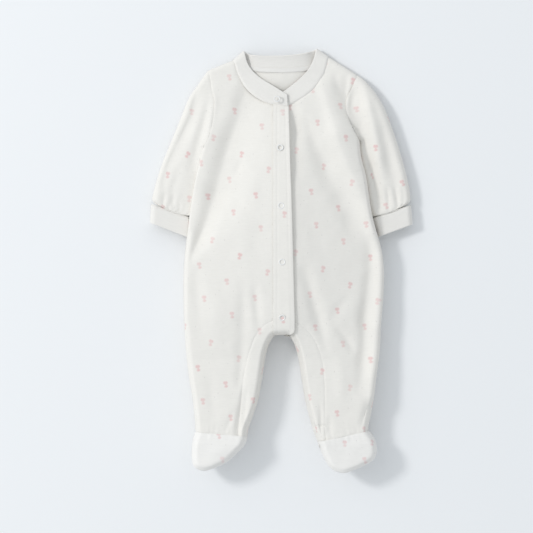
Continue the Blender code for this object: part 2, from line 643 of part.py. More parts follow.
def make_neck_tape():
    """Lies inside the back, just below the neckband's seam."""
    upper = np.vstack([sampled(LEFT.back_neck, [0.62, 0.8]), sampled(RIGHT.back_neck, [1, 0.8, 0.62])])
    upper[:, 1] -= TAPE_BELOW
    lower = upper - (0, TAPE_WIDE)
    plan = np.stack([upper, lower])
    grid = raise_grid(plan, back_of_body)
    grid[..., 2] += (KNIT + TAPE) / 2 + LAYER_GAP
    cloth("neck_tape", [grid], TAPE, TAPE_FINISH)


def make_feet():
    """Each foot's upper reaches from the ankle nearly to the toe, where the sole turns up to meet it."""
    shares = np.linspace(0, 1, FOOT_ACROSS + 1)
    steps = np.array(FOOT_STEPS)
    for name, side in (("left", LEFT), ("right", RIGHT)):
        tips = sampled(side.foot, 0.05 + 0.9 * shares)
        for half, inner_seam in (("top", side.gusset_front[-1]), ("bottom", side.gusset_back[-1])):
            ankle_corners = np.array([side.foot[0], inner_seam, side.foot[-1]])
            ankle = along(ankle_corners, shares)
            plan = ankle[:, None] + (tips - ankle)[:, None] * steps[None, :, None]
            if half == "top":
                top = raise_grid(plan, front_of_body)
            else:
                bottom = raise_grid(plan, back_of_body)
        turned_up = top[:, -3:-1]
        upper = trim(top[:, :-2], SEAM, SEAM, BENT_SEAM, BENT_SEAM)
        sole = np.concatenate([turned_up, bottom[:, ::-1]], axis=1)
        sole = trim(sole, SEAM, SEAM, BENT_SEAM, BENT_SEAM)
        cloth(f"foot_upper_{name}", [upper], KNIT, KNIT_FINISH)
        cloth(f"sole_{name}", [sole], KNIT, KNIT_FINISH)


def make_snaps():
    """Open rings that lie on the upper placket, turned about their own axes."""
    mesh = bpy.data.meshes.new("snap_ring")
    made = bmesh.new()
    points = [made.verts.new((radius * MM, 0, height * MM)) for radius, height in SNAP_PROFILE]
    for start, end in zip(points, points[1:] + points[:1]):
        made.edges.new((start, end))
    made.to_mesh(mesh)
    made.free()
    for number, snap in enumerate(SNAPS, start=1):
        seat = snap.raised + RIB / 2 + SNAP_CLEAR
        base, above = (front_of_body([(snap.x, snap.y)], seat + lift)[0] for lift in (0, 5))
        ring = add_object(f"snap_{number}", mesh if number == 1 else mesh.copy(), SNAP_FINISH)
        ring.location = to_world(base)
        ring.rotation_mode = "QUATERNION"
        ring.rotation_quaternion = Vector(above - base).to_track_quat("Z", "Y")
        turn = ring.modifiers.new("Turn", "SCREW")
        turn.steps = turn.render_steps = SNAP_SEGMENTS
        turn.use_merge_vertices = True
        turn.merge_threshold = RING_CLOSES * MM


for leftover in list(bpy.data.objects):
    bpy.data.objects.remove(leftover, do_unlink=True)
suit = bpy.data.collections.new("footed_sleepsuit")
bpy.context.scene.collection.children.link(suit)
make_fronts()
make_back()
make_gussets()
make_plackets()
make_sleeves()
make_neckband()
make_neck_tape()
make_feet()
make_snaps()
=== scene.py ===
"""A baby's footed sleepsuit in soft printed knit, lying on its back and lightly filled out.

Left and right are those of someone who looks down on it.  Tables and sizes are in millimetres on the
suit's own plan, with y towards the neck, and in_frame() takes them into the frame.  Each cut piece of
cloth is a sheet of points through the middle of the cloth, which is then given its thickness.
"""

from collections import namedtuple
from functools import partial

import bmesh
import bpy
import numpy as np
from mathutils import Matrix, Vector, noise


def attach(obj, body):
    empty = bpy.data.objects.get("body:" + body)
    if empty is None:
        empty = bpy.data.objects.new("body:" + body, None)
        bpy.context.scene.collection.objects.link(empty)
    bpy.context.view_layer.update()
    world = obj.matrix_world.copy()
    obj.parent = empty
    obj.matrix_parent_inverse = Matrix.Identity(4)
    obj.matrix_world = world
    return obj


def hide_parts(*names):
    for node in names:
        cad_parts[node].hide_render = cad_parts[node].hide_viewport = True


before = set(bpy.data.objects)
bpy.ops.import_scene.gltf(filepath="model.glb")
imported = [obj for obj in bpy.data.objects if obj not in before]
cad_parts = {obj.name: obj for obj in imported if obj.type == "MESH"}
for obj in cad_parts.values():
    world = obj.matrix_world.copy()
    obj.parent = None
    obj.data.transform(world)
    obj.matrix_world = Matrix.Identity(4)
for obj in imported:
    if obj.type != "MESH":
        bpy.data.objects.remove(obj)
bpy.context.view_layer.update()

# ---- The surface it lies on, the light and the camera ----
# The suit lies on a plain pale surface.  A soft lamp and a wide pale screen stand to the left and a little
# towards the neck, the rest of the light comes from all round, and the camera looks straight down.
PICTURE_WIDTH = 0.6929  # metres across the picture, at the suit's middle height
CAMERA_HEIGHT = 5.0
PICTURE_MIDDLE = (-0.0195, -0.0081)
SUIT_MIDDLE_HEIGHT = 0.025
LIGHT_DISTANCE = 5.2
LIGHTS = {  # size, power and the direction it stands in
    "lamp": (0.95, 86.0, Vector((-0.663, 0.263, 0.682))),
    "screen": (4.6, 30.0, Vector((-0.62, 0.33, 0.70))),
}
ROOM_LIGHT = (0.655, 0.69, 0.72)
SURFACE_COLOUR = (0.87, 0.876, 0.883)

camera = bpy.data.objects.new("camera", bpy.data.cameras.new("camera"))
bpy.context.scene.collection.objects.link(camera)
camera.location = (*PICTURE_MIDDLE, CAMERA_HEIGHT)
camera.data.lens = camera.data.sensor_width * (CAMERA_HEIGHT - SUIT_MIDDLE_HEIGHT) / PICTURE_WIDTH
camera.data.clip_end = 50
bpy.context.scene.camera = camera

for light_name, (light_size, light_power, light_direction) in LIGHTS.items():
    light = bpy.data.objects.new(light_name, bpy.data.lights.new(light_name, "AREA"))
    bpy.context.scene.collection.objects.link(light)
    light.data.shape = "DISK"
    light.data.size = light_size
    light.data.energy = light_power
    light.location = light_direction * LIGHT_DISTANCE
    light.rotation_euler = light_direction.to_track_quat("Z", "Y").to_euler()

room = bpy.data.worlds.new("room")
room.use_nodes = True
room.node_tree.nodes["Background"].inputs["Color"].default_value = (*ROOM_LIGHT, 1)
room.node_tree.nodes["Background"].inputs["Strength"].default_value = 1.0
bpy.context.scene.world = room
bpy.context.scene.view_settings.view_transform = "Standard"

bpy.ops.mesh.primitive_plane_add(size=6.0, location=(0, 0, 0))
surface = bpy.context.object
surface.name = "surface"
surface_material = bpy.data.materials.new("painted_board")
surface_material.use_nodes = True
board = surface_material.node_tree.nodes["Principled BSDF"]
board.inputs["Base Color"].default_value = (*SURFACE_COLOUR, 1)
board.inputs["Roughness"].default_value = 0.9
board.inputs["Specular IOR Level"].default_value = 0.1
surface.data.materials.append(surface_material)

# ---- Back panel ----
# One piece of soft off-white knit from the back neck to both ankles.  It lies flat on the surface and
# curves up at its sides to the side seams.  It is cut in one, and its print runs up the suit.
MM = 0.001
KNIT = 1.3  # thickness of the body cloth
SUIT_MIDDLE = (1.0, -1.65)  # on the plan; it stands at the frame's origin
CENTRE_X = 2.0
LIES = 0.75  # the middle of cloth that lies on the surface

SIDES = ("left", "right")
SIGN = {"left": -1, "right": 1}
SHOULDER = {
    "left": [(-94.3, 246.0), (-61.0, 259.5), (-48.4, 270.4)],
    "right": [(100.0, 239.5), (61.4, 264.0), (47.3, 273.2)],
}
BACK_NECK = {
    "left": [(-61.0, 259.5), (-48.0, 250.0), (-30.0, 244.5), (CENTRE_X, 243.0)],
    "right": [(61.4, 264.0), (50.0, 252.5), (33.0, 245.5), (CENTRE_X, 243.0)],
}
ARMHOLE_BACK = {
    "left": [(-94.3, 246.0), (-92.5, 222.0), (-91.0, 203.0), (-92.0, 182.0), (-95.0, 162.0), (-101.0, 145.0)],
    "right": [(100.0, 239.5), (95.0, 222.0), (91.5, 205.0), (92.5, 185.0), (96.0, 168.0), (102.5, 152.0)],
}
BODY_SIDE = {
    "left": [
        (-101.0, 145.0), (-104.5, 130.0), (-110.5, 106.0), (-116.5, 71.5), (-121.0, 37.0), (-124.4, 6.5),
        (-126.0, -20.0), (-126.0, -60.0), (-125.0, -90.0), (-122.5, -125.0), (-119.0, -155.0),
        (-114.5, -182.0), (-111.5, -210.0), (-110.9, -224.5),
    ],
    "right": [
        (102.5, 152.0), (104.5, 132.0), (111.0, 106.0), (117.5, 63.6), (124.0, 37.0), (131.0, 13.0),
        (134.0, -10.0), (134.3, -30.0), (133.0, -56.0), (130.4, -87.0), (129.0, -118.0), (125.0, -150.0),
        (121.3, -180.7), (117.4, -201.5), (114.5, -215.0), (114.0, -223.1),
    ],
}
INNER_LEG = {
    "left": [
        (CENTRE_X, -97.8), (-7.8, -98.8), (-14.8, -109.0), (-19.6, -123.0), (-22.5, -140.0), (-25.6, -160.0),
        (-29.5, -181.0), (-36.0, -202.0), (-42.5, -220.0), (-43.7, -229.5),
    ],
    "right": [
        (CENTRE_X, -97.8), (10.0, -98.8), (18.0, -110.0), (23.5, -129.0), (27.0, -150.0), (32.0, -181.0),
        (37.0, -202.0), (42.5, -222.0), (48.0, -237.0),
    ],
}
GUSSET_BACK = {
    "left": [
        (CENTRE_X, -73.0), (-22.0, -82.0), (-36.0, -100.0), (-46.0, -140.0), (-53.0, -199.0), (-58.0, -229.0),
    ],
    "right": [
        (CENTRE_X, -73.0), (27.0, -82.0), (42.0, -100.0), (53.0, -140.0), (57.0, -199.0), (60.0, -234.0),
    ],
}
SLEEVE_OUTER = {
    "left": [
        (-94.3, 246.0), (-106.9, 227.5), (-119.2, 209.3), (-129.0, 185.4), (-142.0, 153.4),
        (-155.6, 119.6), (-165.5, 86.0), (-168.3, 71.0),
    ],
    "right": [
        (100.0, 239.5), (110.9, 230.4), (124.2, 214.5), (136.0, 193.3), (147.9, 161.5),
        (158.5, 127.1), (166.4, 95.3), (169.2, 69.5),
    ],
}
FOOT = {
    "left": [
        (-110.9, -224.5), (-114.2, -238.0), (-114.9, -254.8), (-113.4, -265.9), (-108.7, -271.3),
        (-98.9, -273.9), (-86.3, -270.5), (-74.5, -265.3), (-66.3, -260.1), (-56.7, -251.3),
        (-49.1, -243.9), (-44.7, -235.7), (-43.7, -229.5),
    ],
    "right": [
        (114.0, -223.1), (118.7, -228.8), (122.5, -236.3), (124.2, -246.5), (122.9, -255.6), (117.0, -262.3),
        (104.5, -269.0), (91.9, -274.0), (81.9, -276.9), (70.2, -274.0), (61.9, -267.3), (54.3, -253.1),
        (51.0, -243.1), (48.0, -237.0),
    ],
}

# How full the suit is at each y.  seam: height of the side seam.  rise: how far the front swells above it.
# crown: what the middle adds.  drop: how far the back falls below the seam.  half: half the suit's width.
# front_round, back_round: how far in from an edge each is rounded.  left_fall: the share of the crown that is
# gone at the left edge.
Fullness = namedtuple("Fullness", "y seam rise crown drop half front_round back_round left_fall")
BODY_FULLNESS = [
    Fullness(-277, 43.0, 7.0, 3.0, 12.0, 125, 7, 18, 0.6),
    Fullness(-268, 39.0, 9.0, 5.0, 14.0, 125, 7, 18, 0.6),
    Fullness(-255, 31.0, 14.0, 7.0, 16.0, 125, 8, 18, 0.6),
    Fullness(-240, 22.0, 22.0, 7.5, 17.0, 125, 8, 20, 0.5),
    Fullness(-227, 15.0, 26.0, 6.0, 15.0 - LIES, 125, 8, 20, 0.5),
    Fullness(-180, 15.0, 22.0, 5.0, 15.0 - LIES, 128, 7, 20, 0.5),
    Fullness(-130, 15.5, 16.0, 9.5, 15.5 - LIES, 131, 8, 20, 0.5),
    Fullness(-100, 16.0, 12.0, 17.5, 16.0 - LIES, 133, 8, 20, 0.5),
    Fullness(-75, 16.0, 11.0, 22.0, 16.0 - LIES, 134, 6, 20, 0.5),
    Fullness(-40, 16.0, 10.0, 23.5, 16.0 - LIES, 135, 6, 20, 0.5),
    Fullness(0, 16.0, 9.5, 23.5, 16.0 - LIES, 131, 6, 20, 0.55),
    Fullness(35, 16.0, 9.5, 23.0, 16.0 - LIES, 128, 6, 20, 0.8),
    Fullness(60, 16.0, 9.5, 22.0, 16.0 - LIES, 124, 6, 20, 1.0),
    Fullness(140, 15.0, 11.0, 14.0, 15.0 - LIES, 112, 6, 20, 1.0),
    Fullness(160, 14.5, 11.0, 11.0, 14.5 - LIES, 112, 7, 20, 1.0),
    Fullness(200, 12.0, 7.5, 4.0, 12.0 - LIES, 110, 7, 18, 1.0),
    Fullness(240, 9.0, 5.0, 0.5, 9.0 - LIES - 1.0, 110, 6, 14, 1.0),
    Fullness(280, 8.0, 3.5, 0.0, 8.0 - LIES - 2.0, 110, 6, 12, 1.0),
]
CREST_X = 12.0  # the front is fullest under the placket; it falls evenly to the right and late to the left
LEFT_POWER, RIGHT_POWER = 2.3, 1.15
SEAM_UP = 1.0  # the left side seam stands this share of the crown that is kept there higher


def in_frame(points):
    """Plan points in millimetres as frame points in metres."""
    return (np.asarray(points, float) - (*SUIT_MIDDLE, 0)) * MM


def smooth_line(points, per_span=10):
    """Dense points of the Catmull-Rom curve through the given ones."""
    points = np.array(points, float)
    ends = 2 * points[[0, -1]] - points[[1, -2]]
    padded = np.vstack([ends[0], points, ends[1]])
    share = np.linspace(0, 1, per_span, endpoint=False)[:, None]
    spans = []
    for a, b, c, d in zip(padded, padded[1:], padded[2:], padded[3:]):
        spans.append(0.5 * (2 * b + (c - a) * share + (2 * a - 5 * b + 4 * c - d) * share**2
                            + (3 * b - a - 3 * c + d) * share**3))
    return np.vstack([*spans, points[-1]])


def lengths(line):
    """How far along a line each of its points is."""
    return np.concatenate([[0], np.cumsum(np.linalg.norm(np.diff(line, axis=0), axis=1))])


def along(line, shares):
    """The points at the given shares of a dense line's length."""
    length = lengths(line)
    return np.stack([np.interp(np.asarray(shares) * length[-1], length, axis) for axis in line.T], axis=1)


AT_ONCE = 4000  # how many spots or faces are compared with a line or a print at a time


def near(spots, line):
    """For each (x, y) spot, its distance to a line, its place along the line and the side it lies on."""
    line = np.asarray(line, float)
    start, step, length = line[:-1], np.diff(line, axis=0), lengths(line)
    flat = spots.reshape(-1, 2)
    away, place, side = np.empty(len(flat)), np.empty(len(flat)), np.empty(len(flat))
    for first in range(0, len(flat), AT_ONCE):
        part = slice(first, first + AT_ONCE)
        to = flat[part, None] - start[None]
        share = np.clip((to * step).sum(-1) / (step**2).sum(-1), 0, 1)
        gap = np.linalg.norm(to - share[..., None] * step, axis=-1)
        best = gap.argmin(1)
        rows = np.arange(len(best))
        away[part] = gap[rows, best]
        place[part] = length[best] + share[rows, best] * (length[best + 1] - length[best])
        offset = to[rows, best]
        side[part] = np.sign(step[best, 0] * offset[:, 1] - step[best, 1] * offset[:, 0])
    return tuple(values.reshape(spots.shape[:-1]) for values in (away, place, side))


def nearest(spots, lines):
    """Each spot's distance to the nearest of several lines."""
    return np.min([near(spots, line)[0] for line in lines], axis=0)


def swell(distance, radius):
    """0 at an edge and 1 from `radius` on, rounded as a quarter of an ellipse."""
    return np.sqrt(1 - (1 - np.clip(distance / radius, 0, 1)) ** 2)


def ease(share):
    """0 up to a share of 0 and 1 from a share of 1, with a soft start and end."""
    share = np.clip(share, 0, 1)
    return share * share * (3 - 2 * share)


def fullness_at(y):
    """The body's fullness at each y, as a Fullness of arrays."""
    table = np.array(BODY_FULLNESS, float)
    return Fullness(y, *(np.interp(y, table[:, 0], column) for column in table.T[1:]))


def both(*curves, per_span=5):
    """The left and the right line of each curve."""
    return [smooth_line(curve[side], per_span) for curve in curves for side in SIDES]


# Each sleeve lies against the body from the underarm to the end of its cuff.  At such a contact the cloth
# keeps the share `held` of its fullness, and has the rest from `round` on.
CONTACT_END_Y = 36.0
CONTACT_REACH, CONTACT_TAPER = 14.0, 26.0
Contact = namedtuple("Contact", "line held round")
BODY_HELD = {"left": 0.75, "right": 0.85}
BODY_ROUND = 2.5
CONTACTS, FREE_SIDES = [], []
for contact_side in SIDES:
    contact_line = smooth_line(BODY_SIDE[contact_side])
    contact_end = np.argmax(contact_line[:, 1] <= CONTACT_END_Y)
    CONTACTS.append(Contact(contact_line[:contact_end + 1], BODY_HELD[contact_side], BODY_ROUND))
    FREE_SIDES.append(contact_line[contact_end:])
CONTACT_LINES = [contact.line for contact in CONTACTS]

# Every other line at which front and back meet, seen from above.
SHOULDER_LINES = [np.array(SHOULDER[side], float) for side in SIDES]
SHARED_EDGES = SHOULDER_LINES + both(SLEEVE_OUTER, per_span=10)
BODY_EDGES = SHARED_EDGES + both(INNER_LEG, FOOT, per_span=10) + FREE_SIDES
BODY_OUTLINE = BODY_EDGES + CONTACT_LINES


def crown_at(spots, full):
    """What the middle adds to the front's height, and how much higher the side seam stands."""
    across = spots[..., 0] - CREST_X
    gone = np.clip(-across / (full.half + CREST_X), 0, 1) ** LEFT_POWER
    right = np.clip(1 - across / (full.half - CREST_X), 0, 1) ** RIGHT_POWER
    crown = full.crown * np.where(across < 0, 1 - full.left_fall * gone, right)
    return crown, SEAM_UP * full.crown * (1 - full.left_fall) * gone


def tapered(y):
    """How the body's contacts end: 0 where the sleeve's cuff ends, and 1 above it."""
    return ease((y - CONTACT_END_Y) / CONTACT_TAPER)


def contact_height(line, side):
    """How high the body's cloth is pressed at each point of a contact."""
    full = fullness_at(line[..., 1])
    crown, up = crown_at(line, full)
    return full.seam + up + (full.rise + crown - up) * BODY_HELD[side] * tapered(line[..., 1])


def held_at(spots, contacts):
    """How much of its fullness the cloth keeps where it is pressed, and how far it is free to swell."""
    away = [near(spots, contact.line)[0] for contact in contacts]
    held = sum(contact.held * ease(1 - gap / CONTACT_REACH) for contact, gap in zip(contacts, away))
    if contacts is CONTACTS:
        held = held * tapered(spots[..., 1])
    return held, np.min([swell(gap, contact.round) for contact, gap in zip(contacts, away)], axis=0)


def front_height(spots, lines, full, contacts):
    """The front's height above the surface, where `lines` are its edges and `contacts` those that press."""
    crown, up = crown_at(spots, full)
    held, free = held_at(spots, contacts)
    swells = full.rise + crown - up
    fullness = swell(nearest(spots, lines), full.front_round)
    return full.seam + up + swells * np.minimum(fullness, held + (1 - held) * free)


def back_height(spots, lines, full, contacts):
    """The back's height above the surface, where the cloth that is pressed is lifted."""
    crown, up = crown_at(spots, full)
    lift = up + (full.rise + crown - up) * held_at(spots, contacts)[0]
    away = nearest(spots, lines + [contact.line for contact in contacts])
    return full.seam + lift - (full.drop + lift) * swell(away, full.back_round)


def with_height(spots, height):
    """Plan spots as points at their heights."""
    return np.concatenate([spots, height[..., None]], axis=-1)


# Where the back lifts off the surface inside the neck: its middle, height and reach, and how far off the
# shoulder seams it is in full.
BACK_NECK_BULGE = ((-5.0, 232.0), 11.0, (60.0, 34.0), 22.0)


def on_back(spots):
    """Points on the smooth back."""
    middle, high, reach, from_shoulder = BACK_NECK_BULGE
    height = back_height(spots, BODY_EDGES, fullness_at(spots[..., 1]), CONTACTS)
    bulge = high * np.exp(-(((spots - middle) / reach) ** 2).sum(-1))
    return with_height(spots, height + bulge * ease(nearest(spots, SHOULDER_LINES) / from_shoulder))


def graded(length, widest, first=0.4, growth=0.22):
    """Places from 0 to a length, close together at both ends and at most `widest` apart."""
    places, step = [0.0], first
    while places[-1] < length / 2:
        places.append(places[-1] + step)
        step = min(step * (1 + growth), widest)
    half = np.array(places) * (length / 2 / places[-1])
    return np.concatenate([half, length - half[-2::-1]])


def longest_spans(outer, inner, pairs):
    """The longer of the two lines between each pair of facing places and the next."""
    shares = np.diff(pairs, axis=0)
    return np.maximum(shares[:, 0] * lengths(outer)[-1], shares[:, 1] * lengths(inner)[-1])


def paired_rows(outer, inner, pairs, step, spans=None):
    """Matching points along two dense lines, where pairs holds the shares of the two that face each other."""
    pairs = np.array(pairs, float)
    spans = longest_spans(outer, inner, pairs) if spans is None else spans
    knots = np.concatenate([[0], np.cumsum(spans)])
    places = graded(knots[-1], step)
    for knot in knots[1:-1]:
        places[np.argmin(np.abs(places - knot))] = knot
    return (along(line, np.interp(places, knots, pairs[:, k])) for k, line in enumerate((outer, inner)))


def between(starts, ends, shares):
    """A plan grid whose rows have a point at each share of the way from their start to their end."""
    return starts[:, None] + (ends - starts)[:, None] * shares[None, :, None]


def spread(starts, ends, step):
    """A plan grid with a row from each start to its end."""
    longest = np.linalg.norm(ends - starts, axis=1).max()
    return between(starts, ends, graded(longest, step) / longest)


NOT_ZERO = 1e-9


def normals_of(points, ring=False):
    """The unit normals of a grid, up where its rows go towards the feet and its columns to the right."""
    if ring:
        across = np.roll(points, -1, axis=1) - np.roll(points, 1, axis=1)
    else:
        across = np.gradient(points, axis=1)
    normal = np.cross(np.gradient(points, axis=0), across)
    return normal / np.maximum(np.linalg.norm(normal, axis=-1, keepdims=True), NOT_ZERO)


def outward(points, relief):
    """Moves the front's points out along its normals."""
    normal = normals_of(points)
    return points + normal * np.sign(normal[..., 2:]) * relief[..., None]


def inward(points, relief):
    """Moves the underside in where a crease lifts it off the surface, and never out."""
    return outward(points, -np.minimum(relief, 0))


def cloth_places(points, anchor, far=-1, ring=False):
    """Where each point of a sheet lies on the flat cloth.

    Every row keeps its own length from the anchor column, and runs the way it runs to its far column.
    """
    closed = np.concatenate([points, points[:, :1]], axis=1) if ring else points
    length = np.zeros(closed.shape[:2])
    length[:, 1:] = np.cumsum(np.linalg.norm(np.diff(closed, axis=1), axis=2), axis=1)
    reach = points[:, far, :2] - points[:, 0, :2]
    course = reach / np.maximum(np.linalg.norm(reach, axis=1, keepdims=True), NOT_ZERO)
    return points[:, anchor, None, :2] + course[:, None] * (length - length[:, anchor, None])[..., None]


# The print: a motif repeats down the cloth at uneven steps, and each column of motifs lies lower than
# the one to its left.
REPEAT_DOWN = np.array((-1.5, -133.0))
REPEAT_ACROSS = np.array((36.0, -21.0))
REPEAT_PLACES = [(0.0, 0.0, 0.1), (8.5, -57.0, -0.25), (-8.0, -90.0, 0.2)]  # x, y and turn
REPEATS_DOWN, REPEATS_ACROSS = (-3, 5), (-6, 7)  # from the first repeat
BODY_PRINT = {"left": (-24.3, 172.4), "right": (48.0, 176.8)}  # the place of the first motif
NO_PRINT = np.array([(10000.0, 0.0, 0.0)])  # one motif, far off the cloth


def printed_places(first, turn=0.0, across=REPEATS_ACROSS):
    """The motifs' places and turns on a piece whose first motif is at `first` and whose print is turned."""
    spin = np.array([[np.cos(turn), -np.sin(turn)], [np.sin(turn), np.cos(turn)]])
    made = []
    for down in range(*REPEATS_DOWN):
        for side in range(*across):
            for x, y, lean in REPEAT_PLACES:
                at = spin @ (REPEAT_DOWN * down + REPEAT_ACROSS * side + (x, y)) + first
                made.append((*at, turn + lean))
    return np.array(made)


def motif_coordinates(corners, motifs):
    """Each face corner's place beside the motif that is nearest to its face."""
    middle = corners.mean(axis=1)
    best = np.empty(len(middle), int)
    for first in range(0, len(middle), AT_ONCE):
        part = slice(first, first + AT_ONCE)
        best[part] = np.linalg.norm(middle[part, None] - motifs[None, :, :2], axis=2).argmin(1)
    x, y = np.moveaxis(corners - motifs[best, None, :2], -1, 0)
    cos, sin = np.cos(motifs[best, 2])[:, None], np.sin(motifs[best, 2])[:, None]
    return np.stack([x * cos + y * sin, y * cos - x * sin], -1)


# A sheet has its points, their places on the flat cloth, whether its last column joins its first, and which
# of its faces are left out.
Sheet = namedtuple("Sheet", "points places ring missing", defaults=(False, None))


def quads(grid):
    """The four corners of every face of a grid."""
    return np.stack([grid[:-1, :-1], grid[:-1, 1:], grid[1:, 1:], grid[1:, :-1]], 2)


JOINED_WITHIN = 0.01  # how near each other two sheets' points are joined


def cloth(name, sheets, thickness, material, motifs=NO_PRINT):
    """One piece of cloth from sheets that are joined where they share points."""
    vertices, faces, corners, offset = [], [], [], 0
    for points, places, ring, missing in sheets:
        rows, columns = points.shape[:2]
        index = np.arange(rows * columns).reshape(rows, columns) + offset
        if ring:
            index = np.concatenate([index, index[:, :1]], axis=1)
        kept = np.ones((rows - 1, index.shape[1] - 1), bool) if missing is None else ~missing
        faces.append(quads(index)[kept])
        corners.append(quads(places)[kept])
        vertices.append(in_frame(points.reshape(-1, 3)))
        offset += rows * columns
    faces, corners = np.concatenate(faces), np.concatenate(corners)
    mesh = bpy.data.meshes.new(name)
    mesh.from_pydata(np.concatenate(vertices).tolist(), [], faces.tolist())
    mesh.uv_layers.new(name="cloth").data.foreach_set("uv", corners.astype(np.float32).ravel())
    mesh.uv_layers.new(name="motif").data.foreach_set(
        "uv", motif_coordinates(corners, motifs).astype(np.float32).ravel())
    joined = bmesh.new()
    joined.from_mesh(mesh)
    bmesh.ops.remove_doubles(joined, verts=joined.verts, dist=JOINED_WITHIN * MM)
    bmesh.ops.delete(joined, geom=[v for v in joined.verts if not v.link_faces], context="VERTS")
    bmesh.ops.recalc_face_normals(joined, faces=joined.faces)
    joined.to_mesh(mesh)
    joined.free()
    mesh.materials.append(material)
    mesh.shade_smooth()
    piece = bpy.data.objects.new(name, mesh)
    bpy.context.scene.collection.objects.link(piece)
    solid = piece.modifiers.new("Thickness", "SOLIDIFY")
    solid.thickness = thickness * MM
    solid.offset = 0
    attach(piece, "root")
    return piece


# Folds are soft and uneven.  Their points are (x, y, width, height), from the neck towards the feet.
# Width is from the middle line to where a fold has faded, and height is below the cloth where negative.
# lean: how much wider a fold is on its right than on its left.
Fold = namedtuple("Fold", "points lean", defaults=(0.0,))
FOLD_UNEVEN, FOLD_WIDTH_UNEVEN = 0.48, 0.4  # how much its height wanders, and its width with it
FOLD_WANDER, FOLD_MARKS = 30.0, 40  # the length over which it wanders, and the places where it is worked out
FOLD_DRAW, SEAM_DRAW = 7.3, 5.1  # how far apart in the noise one fold or seam is from the next
FOLD_EDGE = 5.0  # how far from an outer edge a fold reaches its full depth


def folded(spots, folds, seed):
    """The height that folds add at each spot."""
    height = np.zeros(spots.shape[:-1])
    for number, fold in enumerate(folds):
        line = smooth_line(fold.points, 6)
        length = lengths(line[:, :2])
        away, place, side = near(spots, line[:, :2])
        marks = np.linspace(0, 1, FOLD_MARKS)
        draws = marks * length[-1] / FOLD_WANDER
        uneven = [noise.noise(Vector((draw, number * FOLD_DRAW, seed))) for draw in draws]
        wanders = 1 + FOLD_UNEVEN * np.interp(place / length[-1], marks, uneven)
        width = np.interp(place, length, line[:, 2]) * (1 + fold.lean * side)
        width *= 1 - FOLD_WIDTH_UNEVEN + FOLD_WIDTH_UNEVEN * wanders
        height += np.interp(place, length, line[:, 3]) * wanders * np.exp(-((away / width) ** 2))
    return height


FINER_WAVES = [(0.38, 17.0, 19.0, 4), (0.17, 7.5, 6.0, 9)]  # strength, size across and down, and draw


def undulation(spots, seed, scale=46.0, height=0.9):
    """The slow unevenness of cloth that nothing stretches, and the finer waves on it."""
    waves = []
    for x, y in spots.reshape(-1, 2):
        wave = noise.noise(Vector((x / scale, y / scale, seed)))
        for strength, across, down, draw in FINER_WAVES:
            wave += strength * noise.noise(Vector((x / across, y / down, seed + draw)))
        waves.append(wave)
    return height * np.array(waves).reshape(spots.shape[:-1])


SEAM_WIDTH, SOFT_DIP, SOFT_WIDTH = 1.5, 0.3, 6.0  # a wider and weaker dip goes with each seam
PUCKER_START = 2.5  # how far from a seam its puckers reach their full height
# dip: how deep the cloth dips at a seam.  pucker, step and reach: the height of its puckers, their length
# along it, and how far from it they fade.
Seam = namedtuple("Seam", "line dip pucker step reach", defaults=(0.55, 0.3, 5.5, 7.0))


def sewn(spots, seams, seed):
    """How the cloth dips into its seams, and puckers along them."""
    height = np.zeros(spots.shape[:-1])
    for number, seam in enumerate(seams):
        away, place, _ = near(spots, seam.line)
        marks = np.arange(0, lengths(np.asarray(seam.line, float))[-1] + 1, 1.0)
        gather = [noise.noise(Vector((mark / seam.step, number * SEAM_DRAW, seed))) for mark in marks]
        soft = SOFT_DIP * np.exp(-((away / SOFT_WIDTH) ** 2))
        height -= seam.dip * (np.exp(-((away / SEAM_WIDTH) ** 2)) + soft)
        puckers = seam.pucker * np.interp(place, marks, gather) * np.exp(-((away / seam.reach) ** 2))
        height += puckers * ease(away / PUCKER_START)
    return height


def creased(plan, folds, seams, seed, lines=BODY_OUTLINE):
    """All that folds, seams and slackness add to a sheet's height."""
    slack = (folded(plan, folds, seed) + undulation(plan, seed)) * ease(nearest(plan, lines) / FOLD_EDGE)
    return slack + sewn(plan, seams, seed)


def link(tree, target, output, socket):
    """Joins a node's output to a socket of the target node."""
    tree.links.new(output, target.inputs[socket])


def node(tree, kind, values=None, **settings):
    """A new node with its settings, whose inputs are given as values or as other nodes' outputs."""
    made = tree.nodes.new(kind)
    for key, value in settings.items():
        setattr(made, key, value)
    for key, value in (values or {}).items():
        if isinstance(value, bpy.types.NodeSocket):
            link(tree, made, value, key)
        else:
            made.inputs[key].default_value = value
    return made


def math(tree, operation, first, second=0.0, clamp=False):
    """The result of one operation on values or other nodes' outputs."""
    made = node(tree, "ShaderNodeMath", {0: first, 1: second}, operation=operation, use_clamp=clamp)
    return made.outputs[0]


def operations(tree, *kinds):
    """Functions that each add one kind of maths node to the tree."""
    return (partial(math, tree, kind) for kind in kinds)


def shader_group(name, inputs, outputs):
    """An empty node group with float, vector or colour sockets, and its two end nodes."""
    group = bpy.data.node_groups.new(name, "ShaderNodeTree")
    kinds = {"float": "NodeSocketFloat", "vector": "NodeSocketVector", "colour": "NodeSocketColor"}
    for direction, sockets in (("INPUT", inputs), ("OUTPUT", outputs)):
        for socket, (kind, value) in sockets.items():
            made = group.interface.new_socket(socket, in_out=direction, socket_type=kinds[kind])
            if value is not None and direction == "INPUT":
                made.default_value = value
    return group, group.nodes.new("NodeGroupInput"), group.nodes.new("NodeGroupOutput")


